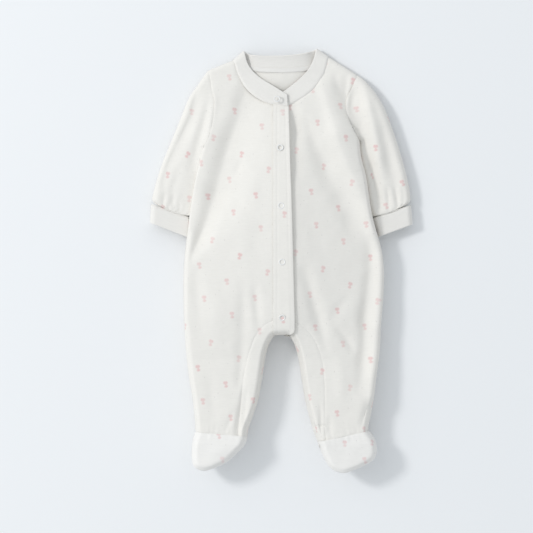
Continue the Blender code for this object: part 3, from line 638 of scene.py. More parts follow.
# Knit, close up: columns of small slanted loops under a soft brushed nap.
knit_group, knit_in, knit_out = shader_group(
    "knit_loops",
    {"Place": ("vector", None), "Wale": ("float", 1.1), "Course": ("float", 0.8), "Nap": ("float", 0.6)},
    {"Height": ("float", None), "Fluff": ("float", None), "Fade": ("float", None)},
)
SLUB_SCALE = (0.075, 0.95, 1.0)  # thicker and thinner yarn shows as faint lines along the courses
WHOLE_TURN = 6.2832
LOOP_SLANT = 1.3
LOOP_HEIGHT, RIDGE_HEIGHT, NAP_HEIGHT, SLUB_HEIGHT = 0.28, 0.5, 2.0, 0.8


def knit_loops():
    """Height of the loops and of the nap at a place on the cloth in millimetres."""
    tree = knit_group
    add, times, over, wave = operations(tree, "ADD", "MULTIPLY", "DIVIDE", "SINE")
    place = knit_in.outputs["Place"]

    def patches(**settings):
        """Soft noise over the cloth."""
        return node(tree, "ShaderNodeTexNoise", {"Vector": place, **settings}).outputs["Fac"]

    def stretched(value, **limits):
        """A value taken from one range to another.  Underscores stand for spaces in the sockets' names."""
        limits = {name.replace("_", " "): limit for name, limit in limits.items()}
        return node(tree, "ShaderNodeMapRange", {"Value": value, **limits}).outputs["Result"]

    parts = node(tree, "ShaderNodeSeparateXYZ", {0: place})
    column = math(tree, "PINGPONG", over(parts.outputs["X"], knit_in.outputs["Wale"]), 0.5)
    slant = add(over(parts.outputs["Y"], knit_in.outputs["Course"]), times(column, LOOP_SLANT))
    loop, ridge = wave(times(slant, WHOLE_TURN)), wave(times(column, WHOLE_TURN))
    loops = add(times(loop, LOOP_HEIGHT), times(ridge, RIDGE_HEIGHT))
    nap = times(patches(Scale=1.4, Detail=4.0, Roughness=0.65), knit_in.outputs["Nap"])
    cloudy = patches(Scale=0.06, Detail=3.0)
    along_course = node(tree, "ShaderNodeVectorMath", {0: place, 1: SLUB_SCALE}, operation="MULTIPLY")
    slub = patches(Vector=along_course.outputs["Vector"], Scale=1.0, Detail=3.0, Roughness=0.7)
    slub = stretched(slub, From_Min=0.33, From_Max=0.67)
    fade = stretched(patches(Scale=0.045, Detail=0.0), From_Min=0.3, From_Max=0.7, To_Min=0.6, To_Max=1.25)
    link(tree, knit_out, add(add(loops, times(nap, NAP_HEIGHT)), times(slub, SLUB_HEIGHT)), "Height")
    link(tree, knit_out, add(times(cloudy, 0.5), times(slub, 0.5)), "Fluff")
    link(tree, knit_out, fade, "Fade")


knit_loops()

# The print's motif: a small bud with a stub below it and a few faint specks beside it.
bud_group, bud_in, bud_out = shader_group(
    "bud_print", {"Place": ("vector", None)}, {"Pink": ("float", None), "Grey": ("float", None)}
)
Blob = namedtuple("Blob", "x y half_width half_height softness")
BUD_BLOBS = [
    Blob(-0.9, 2.3, 1.9, 2.0, 0.5),
    Blob(1.0, 2.1, 1.9, 1.9, 0.5),
    Blob(0.1, -2.5, 2.1, 1.6, 0.5),
    Blob(0.1, -0.2, 1.0, 1.2, 0.6),
]
SPECKS = [
    Blob(15.5, 4.0, 0.5, 1.0, 0.6),
    Blob(-12.0, -9.0, 0.9, 0.4, 0.6),
    Blob(6.0, -13.5, 0.5, 0.8, 0.6),
]


def blob_mask(tree, place, blobs):
    """1 inside any of the blobs and 0 outside, with soft edges."""
    add, less, times, over, root = operations(tree, "ADD", "SUBTRACT", "MULTIPLY", "DIVIDE", "SQRT")
    parts = node(tree, "ShaderNodeSeparateXYZ", {0: place})
    total = None
    for blob in blobs:
        x = over(less(parts.outputs["X"], blob.x), blob.half_width)
        y = over(less(parts.outputs["Y"], blob.y), blob.half_height)
        radius = root(add(times(x, x), times(y, y)))
        inside = over(less(1 + blob.softness, radius), 2 * blob.softness, clamp=True)
        total = inside if total is None else math(tree, "MAXIMUM", total, inside)
    return total


def bud_print():
    """The motif's masks, where the pink ink is a little uneven."""
    tree, place = bud_group, bud_in.outputs["Place"]
    add, times = operations(tree, "ADD", "MULTIPLY")
    worn = node(tree, "ShaderNodeTexNoise", {"Vector": place, "Scale": 0.9, "Detail": 2.0}).outputs["Fac"]
    grain = add(times(worn, 0.7), 0.5, clamp=True)
    link(tree, bud_out, times(blob_mask(tree, place, BUD_BLOBS), grain), "Pink")
    link(tree, bud_out, blob_mask(tree, place, SPECKS), "Grey")


bud_print()

KNIT_COLOUR = (0.872, 0.842, 0.79)
PINK, GREY = (0.76, 0.40, 0.40), (0.60, 0.58, 0.55)
PINK_STRENGTH, GREY_STRENGTH = 0.55, 0.4
HOLLOWS = 0.93  # the share of its colour that the cloth has between its fluff
KNIT_DEPTH = 0.25 * MM
MIX_FIRST, MIX_SECOND, MIX_RESULT = 6, 7, 2  # the sockets of a mix of colours


def knit_material(name, colour, printed, wale=1.1, course=0.8, bump=0.25):
    """Soft knit with its loops, its nap and, where wanted, its print."""
    material = bpy.data.materials.new(name)
    material.use_nodes = True
    tree = material.node_tree

    def mixed_colours(amount, first, second):
        """The first colour, with the second one laid over it by the given amount."""
        values = {"Factor": amount, MIX_FIRST: first, MIX_SECOND: second}
        return node(tree, "ShaderNodeMix", values, data_type="RGBA").outputs[MIX_RESULT]

    shader = tree.nodes["Principled BSDF"]
    loops = node(tree, "ShaderNodeGroup", {}, node_tree=knit_group)
    link(tree, loops, node(tree, "ShaderNodeUVMap", uv_map="cloth").outputs["UV"], "Place")
    loops.inputs["Wale"].default_value, loops.inputs["Course"].default_value = wale, course
    tone = mixed_colours(loops.outputs["Fluff"], (*(HOLLOWS * part for part in colour), 1), (*colour, 1))
    if printed:
        bud = node(tree, "ShaderNodeGroup", {}, node_tree=bud_group)
        link(tree, bud, node(tree, "ShaderNodeUVMap", uv_map="motif").outputs["UV"], "Place")
        for mask, ink, strength in (("Grey", GREY, GREY_STRENGTH), ("Pink", PINK, PINK_STRENGTH)):
            faded = math(tree, "MULTIPLY", loops.outputs["Fade"], strength)
            tone = mixed_colours(math(tree, "MULTIPLY", bud.outputs[mask], faded), tone, (*ink, 1))
    link(tree, shader, tone, "Base Color")
    shader.inputs["Roughness"].default_value = 0.92
    shader.inputs["Specular IOR Level"].default_value = 0.15
    shader.inputs["Sheen Weight"].default_value = 0.25
    shader.inputs["Sheen Roughness"].default_value = 0.6
    relief = node(tree, "ShaderNodeBump", {"Height": loops.outputs["Height"], "Distance": KNIT_DEPTH,
                                           "Strength": bump})
    link(tree, shader, relief.outputs["Normal"], "Normal")
    return material


printed_knit = knit_material("printed_knit_cloth", KNIT_COLOUR, printed=True)

BACK_FOLDS = [
    Fold([(-66, 225, 7, 0), (-84, 150, 10, -1.8), (-90, 100, 10, -1.6), (-94, 50, 7, 0)]),
    Fold([(60, 225, 8, 0), (80, 150, 10, -1.8), (90, 90, 10, -1.6), (98, 30, 8, 0)]),
    Fold([(-40, 70, 10, 0), (-22, 10, 13, -1.3), (-24, -40, 13, -1.3), (-26, -85, 10, 0)]),
    Fold([(45, 95, 10, 0), (34, 30, 13, -1.3), (40, -30, 13, -1.3), (48, -75, 10, 0)]),
    Fold([(-95, -10, 9, 0), (-90, -90, 11, -1.5), (-84, -150, 11, -1.2), (-78, -205, 8, 0)]),
    Fold([(100, 0, 9, 0), (94, -90, 11, -1.5), (88, -150, 11, -1.2), (84, -208, 8, 0)]),
    Fold([(-20, 195, 11, 0), (-12, 130, 15, -1.0), (-18, 60, 11, 0)]),
]
BACK_SEAMS = [Seam(line) for line in both(ARMHOLE_BACK, BACK_NECK, GUSSET_BACK, BODY_SIDE)]
BACK_SEAMS += [Seam(np.array([FOOT[side][0], GUSSET_BACK[side][-1]]), dip=0.6, pucker=0.8, step=4.5)
               for side in SIDES]
BACK_SEAMS += [Seam(line) for line in SHOULDER_LINES]
BACK_FACING = (0.35, 0.3, 0.7)
BODY_DRAW, BACK_DRAW = 5.0, 11.0  # where in the noise the fronts' and the back's unevenness is
CLOTH_STEP = 2.2  # the points' widest spacing on the large pieces


def half_lines(side, armhole, neck, below, facing):
    """The outer and the inner line of one half of the body, and the shares of the two that face each other.

    below: the inner line from the crotch on.  facing: the share of the armhole that faces the neck's end, the
    share of the way from there to the crotch that faces the underarm, and the outer share at the crotch.
    """
    at_neck, at_underarm, at_crotch = facing
    outer = np.vstack([armhole, smooth_line(BODY_SIDE[side])[1:]])
    inner = np.vstack([neck, below])
    armhole_share = lengths(armhole)[-1] / lengths(outer)[-1]
    neck_share, crotch_share = lengths(inner)[len(neck) - 1:len(neck) + 1] / lengths(inner)[-1]
    chest_share = neck_share + at_underarm * (crotch_share - neck_share)
    pairs = [(0, 0), (armhole_share * at_neck, neck_share), (armhole_share, chest_share),
             (at_crotch, crotch_share), (1, 1)]
    return outer, inner, pairs


def back_lines(side):
    """The two lines of one half of the back, which is open at the crotch for the gusset."""
    armhole, neck, gusset = (smooth_line(curve[side]) for curve in (ARMHOLE_BACK, BACK_NECK, GUSSET_BACK))
    return half_lines(side, armhole, neck, gusset, BACK_FACING)


def make_back():
    """Both halves share their rows, so that they join along the middle."""
    sheets = []
    spans = np.max([longest_spans(*back_lines(side)) for side in SIDES], axis=0)
    for side in SIDES:
        plan = spread(*paired_rows(*back_lines(side), CLOTH_STEP, spans), CLOTH_STEP)
        smooth, relief = on_back(plan), creased(plan, BACK_FOLDS, BACK_SEAMS, BACK_DRAW)
        points = inward(smooth, relief)
        points[:, -1] = smooth[:, -1]
        points[:, -1, 2] -= np.minimum(relief[:, -1], 0)
        sheets.append(Sheet(points, cloth_places(points, -1, far=-1)))
    piece = cloth("back_panel", sheets, KNIT, printed_knit, printed_places(BODY_PRINT["left"]))
    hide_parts("back")


make_back()

# ---- Inside-leg gussets ----
# A strip of the same knit runs down the inside of each leg and round the crotch, between the front and
# the back.  It is sewn to both, and bends round the leg's inner edge.
GUSSET_FRONT = {
    "left": [
        (-10.0, -80.0), (-21.0, -85.5), (-32.5, -99.5), (-40.0, -118.0), (-46.0, -140.0),
        (-50.0, -165.0), (-53.0, -199.0), (-55.5, -229.0),
    ],
    "right": [
        (14.0, -80.0), (31.3, -90.0), (43.2, -104.4), (52.6, -128.0), (56.0, -150.0), (57.3, -187.0),
        (57.0, -218.0), (57.5, -235.0),
    ],
}
CROTCH_Y = -80.0
PLACKET_SEAM_X = {"left": (-10.0, -10.0), "right": (6.5, 14.0)}  # at the neck and at the crotch
PLACKET_TOP_Y = 199.0
UNDER_REACH, UNDER_EDGE_REACH = 70.0, 2.0  # it rises over these from the placket's seam and from an edge
# The depth of the right front's placket edge, as (y, depth) from the crotch up.
UNDER_DEPTH = [(-95.0, 2.0), (-60.0, 2.0), (10.0, 2.4), (70.0, 2.8), (165.0, 4.0), (199.0, 2.4), (215.0, 2.0)]
CROTCH_ROWS = 6  # how many rows of a gusset run under the plackets
CROTCH_STRIP = 0.55  # the share of their front half that those rows leave out
EDGE_START, BACK_START = 0.075, 0.09  # the shares of the leg's edge and the back's seam above a gusset
GUSSET_DOWN, GUSSET_ACROSS = 2.0, 1.6  # the points' widest spacing

# The folds of the fronts.  The two largest are a trough that falls from the left shoulder across the chest
# to the side, and a step up to a roll along the right side.  These ones cross the armholes.
ARMHOLE_FOLDS = [
    Fold([(82, 240, 6, 0), (86, 224, 10, -4), (93, 207, 14, -7), (97, 192, 13, -6.5), (102, 178, 12, -5),
          (106, 163, 9, -3), (109, 148, 7, -1.5), (112, 138, 5, 0)]),
    Fold([(91, 240, 3, 0), (90, 224, 3.5, 1.8), (88, 208, 3.5, 1.8), (86, 192, 3, 0)]),
    Fold([(97, 214, 3, 0), (99, 203, 3, 1.2), (99, 192, 3, 0)]),
    Fold([(-88, 226, 4, 0), (-87, 205, 5, 1.3), (-91, 180, 6, 1.6), (-100, 150, 7, 1.6),
          (-106, 128, 6, 0)]),
    Fold([(-96, 205, 5, 0), (-99, 183, 6, -1.8), (-105, 155, 6, -2.2), (-113, 129, 6, -1.2),
          (-119, 110, 5, 0)]),
]
FRONT_FOLDS = ARMHOLE_FOLDS + [
    # the left chest and side
    Fold([(-38, 240, 16, 0), (-43, 222, 20, -4), (-49, 202, 22, -6.5), (-55, 181, 23, -8.5),
          (-65, 155, 24, -10.5), (-74, 129, 24, -11.5), (-81, 103, 24, -12), (-89, 77, 21, -12),
          (-98, 51, 16, -10), (-108, 25, 9, -6.5), (-114, 8, 6, -3), (-118, -8, 4, 0)], 0.45),
    Fold([(-58, 258, 3, 0), (-54, 250, 4, -1.8), (-50, 236, 4, -1.6), (-46, 226, 3, 0)]),
    Fold([(-50, 132, 5, 0), (-56, 118, 5, -1.6), (-63, 104, 5, 0)]),
    Fold([(-60, 90, 8, 0), (-74, 62, 9, 1.6), (-88, 30, 9, 1.6), (-96, 5, 8, 0)]),
    Fold([(-20, 120, 9, 0), (-26, 60, 12, -1.2), (-30, 10, 12, -1.2), (-30, -25, 8, 0)]),
    Fold([(-108, 0, 6, 0), (-109, -30, 8, -1.6), (-106, -70, 8, -1.4), (-104, -110, 8, 0)]),
    # the right chest and side
    Fold([(52, 240, 9, 0), (57, 218, 11, 4), (64, 195, 13, 5.5), (74, 158, 15, 7), (84, 130, 17, 8),
          (96, 103, 17, 8.5), (107, 77, 15, 7), (115, 50, 12, 6.5), (122, 25, 10, 5.5), (128, 0, 8, 4.5),
          (129, -27, 8, 4), (127, -60, 8, 4), (124, -105, 8, 3.6), (121, -140, 8, 3.2), (118, -170, 8, 2.2),
          (115, -192, 7, 0)], 0.3),
    Fold([(14, 210, 6, 0), (18, 190, 8, -3), (20, 165, 9, -4), (20, 140, 9, -2.5), (20, 115, 8, -1.5),
          (22, 95, 7, 0)]),
    Fold([(30, 190, 6, 0), (42, 158, 10, -4), (54, 130, 12, -4.5), (65, 103, 13, -4), (79, 77, 13, -3.5),
          (90, 50, 11, -3), (100, 20, 9, 0)]),
    Fold([(70, 246, 5, 0), (74, 228, 6, -2), (78, 210, 7, 0)]),
    Fold([(22, 60, 9, 0), (34, 20, 11, 1.0), (44, -5, 11, 1.0), (50, -40, 9, 0)]),
    # the right leg
    Fold([(118, 32, 6, 0), (117, 5, 7, -2), (115, -27, 7, -3), (112, -53, 8, -4), (110, -79, 8, -4.5),
          (109, -105, 8, -4.5), (107, -131, 8, -3.5), (104, -157, 8, -2.5), (100, -180, 7, 0)]),
    Fold([(22, -8, 6, 0), (35, -27, 8, -2.5), (42, -53, 8, -3.8), (50, -79, 8, -3.8), (56, -105, 7, -2),
          (60, -125, 6, 0)]),
    Fold([(66, -82, 5, 0), (80, -98, 6, -2.6), (88, -108, 6, -2.6), (96, -124, 5, 0)]),
    Fold([(60, -95, 6, 0), (74, -66, 7, -1.6), (92, -42, 6, 0)]),
    Fold([(116, -180, 4, 0), (113, -192, 5, -2.5), (108, -208, 5, -2.5), (104, -220, 4, 0)]),
    Fold([(70, -120, 8, 0), (78, -150, 9, 1.5), (76, -200, 8, 0)]),
    # the left leg
    Fold([(-50, -25, 7, 0), (-49, -55, 8, -2.2), (-49, -79, 8, -2.4), (-50, -105, 8, -2),
          (-51, -131, 7, -2.2), (-53, -155, 6, -1.8), (-55, -172, 5, 0)]),
    Fold([(-34, -28, 5, 0), (-32, -53, 6, -2.4), (-29, -80, 6, -2), (-27, -96, 5, 0)]),
    Fold([(-88, -20, 12, 0), (-86, -80, 14, 1.3), (-84, -130, 12, 0)]),
    Fold([(-92, -140, 7, 0), (-90, -180, 8, -1.4), (-85, -218, 6, 0)]),
    # sharp gathers at the ankles
    Fold([(-46, -148, 3, 0), (-50, -180, 4, -1.6), (-53, -200, 5, -3.2), (-55, -214, 6, -4.2),
          (-56, -229, 5, -2)], 0.2),
    Fold([(-42, -158, 2, 0), (-45, -185, 3, -1.4), (-47, -212, 3, -1.2)]),
    Fold([(-62, -196, 3, 0), (-66, -210, 4, -1.6), (-72, -224, 3, 0)]),
    Fold([(50, -180, 3, 0), (52, -205, 3, -1.4), (51, -232, 3, -0.8)]),
    Fold([(64, -200, 3, 0), (63, -218, 4, -1.3), (66, -231, 3, 0)]),
    Fold([(44, -229, 2, 0), (56, -233, 3, -1.2), (72, -231, 2, 0)]),
    Fold([(39, -216, 1.6, 0), (45, -216.5, 1.6, -1.8), (56, -216, 1.6, -1.3), (62, -215, 1.5, 0)]),
]
ANKLE = {side: np.array([FOOT[side][0], GUSSET_FRONT[side][-1], FOOT[side][-1]]) for side in SIDES}
GUSSET_SEAMS = [Seam(line, dip=0.45, pucker=0.4) for line in both(GUSSET_FRONT)]
ANKLE_SEAMS = [Seam(ANKLE[side], dip=0.6, pucker=0.8, step=4.5, reach=9.0) for side in SIDES]


def under_depth(y):
    """How far the right front's placket edge lies below the suit's surface."""
    return np.interp(y, *np.array(UNDER_DEPTH).T)


def under_drop(spots):
    """How far the right front and all that joins it lie lower where they run under the upper placket."""
    seam_x = np.interp(spots[..., 1], [CROTCH_Y, PLACKET_TOP_Y], PLACKET_SEAM_X["right"][::-1])
    from_edge = np.clip(nearest(spots, BODY_OUTLINE) / UNDER_EDGE_REACH, 0, 1)
    return -under_depth(spots[..., 1]) * (1 - ease((spots[..., 0] - seam_x) / UNDER_REACH)) * from_edge


def on_front(spots, raised=0.0):
    """Points on the smooth front, moved out along its normals where they are raised."""
    height = front_height(spots, BODY_EDGES, fullness_at(spots[..., 1]), CONTACTS)
    points = with_height(spots, height)
    return outward(points, np.broadcast_to(raised, height.shape)) if np.any(raised) else points


def make_gussets():
    """Rows run from the front's seam round the leg's edge to the back's seam, and the first ones start at the
    suit's middle line."""
    for side in SIDES:
        front, edge, back = (smooth_line(curve[side]) for curve in (GUSSET_FRONT, INNER_LEG, GUSSET_BACK))
        rows = graded(lengths(front)[-1], GUSSET_DOWN) / lengths(front)[-1]
        starts, turns, ends = (along(line, rows * (1 - first) + first)
                               for line, first in ((front, 0.0), (edge, EDGE_START), (back, BACK_START)))
        turns[0, 0] = PLACKET_SEAM_X[side][1]
        under = np.linspace(0, 1, CROTCH_ROWS, endpoint=False)[:, None]
        starts, turns, ends = (np.vstack([first + (line[0] - first) * under, line]) for first, line in (
            ((CENTRE_X, CROTCH_Y), starts), (edge[0], turns), (back[0], ends)))
        ahead, behind = spread(starts, turns, GUSSET_ACROSS), spread(turns, ends, GUSSET_ACROSS)
        drop = under_drop(ahead) if side == "right" else 0.0
        creases = creased(ahead, FRONT_FOLDS, GUSSET_SEAMS + ANKLE_SEAMS, BODY_DRAW)
        over = outward(on_front(ahead, drop), creases)
        below = inward(on_back(behind), creased(behind, [], BACK_SEAMS, BACK_DRAW))
        meet = (over[:, -1] + below[:, 0]) / 2
        points = np.concatenate([over[:, :-1], meet[:, None], below[:, 1:]], axis=1)
        missing = np.zeros((points.shape[0] - 1, points.shape[1] - 1), bool)
        missing[:CROTCH_ROWS, :int(CROTCH_STRIP * over.shape[1])] = True
        sheet = Sheet(points, cloth_places(points, 0, far=over.shape[1] - 1), missing=missing)
        piece = cloth(f"gusset_{side}", [sheet], KNIT, printed_knit, printed_places(BODY_PRINT[side]))
        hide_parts(f"inseam_{side}")


make_gussets()

# ---- Fronts ----
# Left and right front, cut in the same printed knit, run from the shoulder to the ankle in one piece.
# Each is sewn to its sleeve, its side of the back, its gusset and its placket.
NECK_FRONT = {
    "left": [(-61.0, 259.5), (-54.5, 241.0), (-47.0, 226.5), (-36.0, 215.0), (-22.5, 206.5), (-10.0, 202.0)],
    "right": [(61.4, 264.0), (57.5, 247.0), (50.0, 231.5), (38.5, 218.5), (23.0, 207.5), (6.5, 200.0)],
}
ARMHOLE_FRONT = {
    "left": [(-94.3, 246.0), (-90.2, 222.3), (-86.3, 203.8), (-88.5, 182.0), (-92.5, 162.0), (-101.0, 145.0)],
    "right": [(100.0, 239.5), (92.3, 222.4), (85.4, 206.6), (87.1, 185.4), (94.0, 167.5), (102.5, 152.0)],
}
FRONT_SEAMS = [Seam(line) for line in both(ARMHOLE_FRONT)]
FRONT_SEAMS += [Seam(line, dip=0.8) for line in both(NECK_FRONT)]
FRONT_SEAMS += [Seam(line, dip=0.3, pucker=0.2) for line in both(BODY_SIDE)] + GUSSET_SEAMS + ANKLE_SEAMS
FRONT_SEAMS += [Seam(line, dip=0.4) for line in SHOULDER_LINES]
FRONT_FACING = (0.5, 0.2, 0.69)


def make_fronts():
    """Rows run from the armhole and the side to the neck, the placket's seam and the gusset's seam."""
    for side in SIDES:
        curves = (ARMHOLE_FRONT, NECK_FRONT, GUSSET_FRONT)
        armhole, neck, gusset = (smooth_line(curve[side]) for curve in curves)
        top_x, crotch_x = PLACKET_SEAM_X[side]
        seam = np.array([(top_x, NECK_FRONT[side][-1][1]), (crotch_x, CROTCH_Y)])
        lines = half_lines(side, armhole, neck, np.vstack([seam[1:], gusset[1:]]), FRONT_FACING)
        plan = spread(*paired_rows(*lines, CLOTH_STEP), CLOTH_STEP)
        smooth = on_front(plan, under_drop(plan) if side == "right" else 0.0)
        seams = FRONT_SEAMS + [Seam(seam, dip=0.2, pucker=0.15)]
        points = outward(smooth, creased(plan, FRONT_FOLDS, seams, BODY_DRAW))
        sheet = Sheet(points, cloth_places(smooth, -1))
        piece = cloth(f"front_panel_{side}", [sheet], KNIT, printed_knit, printed_places(BODY_PRINT[side]))
        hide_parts(f"front_{side}")


make_fronts()

# ---- Sleeves ----
# Long sleeves in the printed knit, each sewn into its armhole and gathered a little into its cuff, so
# that it puffs out just above it.
CUFF_OUTER = {"left": [(-168.3, 71.0), (-169.2, 47.7)], "right": [(169.2, 69.5), (171.2, 45.8)]}
CUFF_INNER = {"left": [(-119.4, 54.0), (-122.2, 29.5)], "right": [(118.8, 52.5), (125.2, 29.0)]}
SLEEVE_FULLNESS = Fullness(0, 10.5, 10.5, 0.0, 10.5 - LIES, 110, 8, 15, 1.0)
CUFF_LIES = 1.0  # the middle of the doubled cuff where it lies on the surface
CUFF_FULLNESS = Fullness(0, 9.5, 9.0, 0.0, 9.5 - CUFF_LIES, 110, 6, 13, 1.0)
# The left sleeve leans on the body, and the right one is tucked a little under it.
SLEEVE_LOWER = {"left": 0.0, "right": 14.5}
SLEEVE_ROUND = {"left": 2.5, "right": 10.0}
SLEEVE_CLEAR = {"left": 0.2, "right": -0.9}
UNDERARM_REACH = 24.0  # how far from the underarm it does so in full
INNER_SHARES = np.linspace(0, 1, 60)[:16]  # its inner edge follows the body's side over these shares of it
INNER_ABOVE_CUFF = 3.0  # down to this far above the cuff
SLEEVE_BLEND = 0.45  # the share of the sleeve over which the body's fullness turns into its own
ARMHOLE_BLEND = 0.6  # the share of the sleeve over which its rows straighten from the armhole's curve
SLEEVE_STEP, TUBE_STEP = 2.0, 3.0  # the widest spacing of the points down it, and the share across in percent
TUBE_SHARES = 1 - graded(100, TUBE_STEP, first=0.6) / 100
SLEEVE_TURN = np.radians(17.8)
SLEEVE_REPEATS, SLEEVE_DRAW = (-9, 10), 7.0
PUFF, CUFF_CALM = 7.0, 3.0  # how far above its cuff a sleeve rounds in, and has its creases in full
SLEEVE_PRINT = {"left": ((-111.9, 192.4), -SLEEVE_TURN), "right": ((98.0, 196.0), SLEEVE_TURN)}
SLEEVE_FOLDS = {
    "left": ARMHOLE_FOLDS + [
        Fold([(-108, 226, 5, 0), (-112, 207, 6, -2), (-118, 181, 7, -2.8), (-134, 150, 8, -3.4),
              (-146, 125, 8, -3.4), (-153, 103, 7, -3), (-158, 84, 6, 0)], 0.2),
        Fold([(-98, 206, 5, 0), (-104, 186, 6, 1.2), (-114, 158, 8, 1.6), (-126, 124, 8, 0)]),
        Fold([(-128, 128, 5, 0), (-135, 108, 6, -1.4), (-141, 88, 5, -1.0), (-143, 76, 4, 0)]),
        Fold([(-150, 92, 3, 0), (-152, 80, 3, -1.3), (-153, 70, 2.5, -0.8)]),
        Fold([(-139, 88, 3, 0), (-140, 76, 3, -1.4), (-140, 66, 2.5, -0.8)]),
        Fold([(-131, 82, 3, 0), (-132, 70, 3, -1.0), (-131, 60, 2.5, -0.6)]),
    ],
    "right": ARMHOLE_FOLDS + [
        Fold([(104, 232, 5, 0), (112, 207, 7, 4), (117, 183, 8, 5.5), (124, 156, 8, 5.5), (129, 129, 8, 4),
              (134, 103, 7, 0)]),
        Fold([(130, 170, 6, 0), (137, 150, 7, -1.2), (141, 129, 8, -2), (148, 103, 7, -2),
              (150, 80, 5, 0)]),
        Fold([(105, 160, 5, 0), (110, 142, 7, -3), (113, 130, 8, -4), (118, 110, 8, -5), (123, 90, 9, -5.5),
              (128, 72, 9, -4.5), (131, 60, 6, 0)]),
        Fold([(136, 96, 3, 0), (140, 82, 3.5, -2.6), (141, 64, 3, -1.4)]),
        Fold([(148, 96, 3, 0), (151, 80, 4, -2.8), (152, 64, 3, -1.4)]),
        Fold([(158, 98, 3, 0), (160, 82, 3, -1.8), (160, 70, 3, -1.0)]),
    ],
}
BACK_SLEEVE_FOLDS = {
    "left": [Fold([(-110, 205, 6, 0), (-124, 165, 8, -1.5), (-140, 115, 7, 0)])],
    "right": [Fold([(114, 205, 6, 0), (128, 160, 8, -1.5), (146, 105, 7, 0)])],
}


def mixed(first, second, share):
    """Turns one Fullness into another as share goes from 0 to 1."""
    return Fullness(*(np.asarray(a) * (1 - share) + np.asarray(b) * share for a, b in zip(first, second)))


def sleeve_inner_line(side):
    """A sleeve's inner edge, from the underarm down the body's side to the cuff."""
    line = along(smooth_line(BODY_SIDE[side]), INNER_SHARES)
    line = line[line[:, 1] > CUFF_INNER[side][0][1] + INNER_ABOVE_CUFF]
    return np.vstack([line, CUFF_INNER[side][0]])


def leaning(inner, side, full, lower):
    """The contact of a sleeve or cuff with the body, at the height to which the body is pressed there."""
    crown, up = crown_at(inner, full)
    held = (contact_height(inner, side) - lower - full.seam - up) / (full.rise + crown - up)
    return Contact(inner, np.minimum(held, 1)[:, None], SLEEVE_ROUND[side])


def cuff_halves(side, reach):
    """Front and back points of a cuff at the given shares of the way down it."""
    outer, inner = (np.array(line[side], float) for line in (CUFF_OUTER, CUFF_INNER))
    starts, ends = (line[0] + (line[1] - line[0]) * reach[:, None] for line in (outer, inner))
    plan = between(ends, starts, TUBE_SHARES)
    contact = leaning(ends, side, CUFF_FULLNESS, SLEEVE_LOWER[side])._replace(line=inner)
    return tuple(with_height(plan, height(plan, [outer], CUFF_FULLNESS, [contact]))
                 for height in (front_height, back_height))


def as_ring(front, back):
    """A ring of points from one edge over the front to the other edge, and back below."""
    return np.concatenate([front, back[:, -2:0:-1]], axis=1)


def make_sleeves():
    """Rows run round the sleeve, the first one along the armhole and the last one along the cuff's seam."""
    for side in SIDES:
        sleeve_line, inner_line = smooth_line(SLEEVE_OUTER[side]), sleeve_inner_line(side)
        long = lengths(sleeve_line)[-1]
        stations = graded(long, SLEEVE_STEP) / long
        from_underarm, from_cuff = stations * long, long - stations * long
        leans = ease(from_underarm / UNDERARM_REACH)
        outer, inner = along(sleeve_line, stations), along(inner_line, stations)
        inner[:, 0] += SIGN[side] * SLEEVE_CLEAR[side] * leans
        straight = between(outer, inner, TUBE_SHARES)
        full = mixed(fullness_at(straight[..., 1]), SLEEVE_FULLNESS, ease(stations / SLEEVE_BLEND)[:, None])
        edge_full = Fullness(*(np.asarray(part)[..., 0] if np.ndim(part) == 2 else part for part in full))
        edges = SHARED_EDGES + [np.array(CUFF_OUTER[side])]
        contacts = [leaning(inner, side, edge_full, SLEEVE_LOWER[side] * leans)]
        curved = 1 - ease(stations / ARMHOLE_BLEND)[:, None, None]
        rounds_in = 1 - swell(from_cuff, PUFF)[:, None, None]
        cuff_seam = np.array([CUFF_OUTER[side][0], CUFF_INNER[side][0]])
        smooth, halves = [], []
        for curve, height_of, folds, cuff_row, moved in (
            (ARMHOLE_FRONT, front_height, SLEEVE_FOLDS, cuff_halves(side, np.zeros(1))[0], outward),
            (ARMHOLE_BACK, back_height, BACK_SLEEVE_FOLDS, cuff_halves(side, np.zeros(1))[1], inward),
        ):
            armhole = smooth_line(curve[side])
            plan = straight + (along(armhole, TUBE_SHARES) - straight[0])[None] * curved
            height = height_of(plan, edges, full, contacts)
            height[:, -1] = full.seam[:, -1]
            points = with_height(plan, height)
            points = points + (cuff_row - points) * rounds_in
            seams = [Seam(armhole, dip=0.5), Seam(cuff_seam, dip=0.4, pucker=1.3, step=5.0, reach=11.0)]
            relief = creased(plan, folds[side], seams, SLEEVE_DRAW, [sleeve_line, inner])
            smooth.append(points)
            halves.append(moved(points, relief * ease(from_cuff / CUFF_CALM)[:, None]))
        halves[0][:, [0, -1]] = (halves[0][:, [0, -1]] + halves[1][:, [0, -1]]) / 2
        place, turn = SLEEVE_PRINT[side]
        places = cloth_places(as_ring(*smooth), len(TUBE_SHARES) // 2, far=len(TUBE_SHARES) - 1, ring=True)
        sheet = Sheet(as_ring(*halves), places, ring=True)
        motifs = printed_places(place, turn, SLEEVE_REPEATS)
        piece = cloth(f"sleeve_cloth_{side}", [sheet], KNIT, printed_knit, motifs)
        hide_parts(f"sleeve_{side}")


make_sleeves()

# ---- Cuffs ----
# A band of plain rib knit is folded in two along the wrist, and its two raw edges are sewn to the sleeve.
RIB_LAYER = 0.9  # thickness of one of its layers
LAYER_HALF = 0.5  # from the middle of any doubled band to the middle of a layer
FOLD_ANGLES = np.radians([30, 60, 90, 120, 150])  # the rows of points round such a band's fold
CUFF_ROWS = 13
RIB_COLOUR = (0.874, 0.846, 0.802)
rib_knit = knit_material("plain_rib_cloth", RIB_COLOUR, printed=False, wale=1.9, course=0.9, bump=0.5)


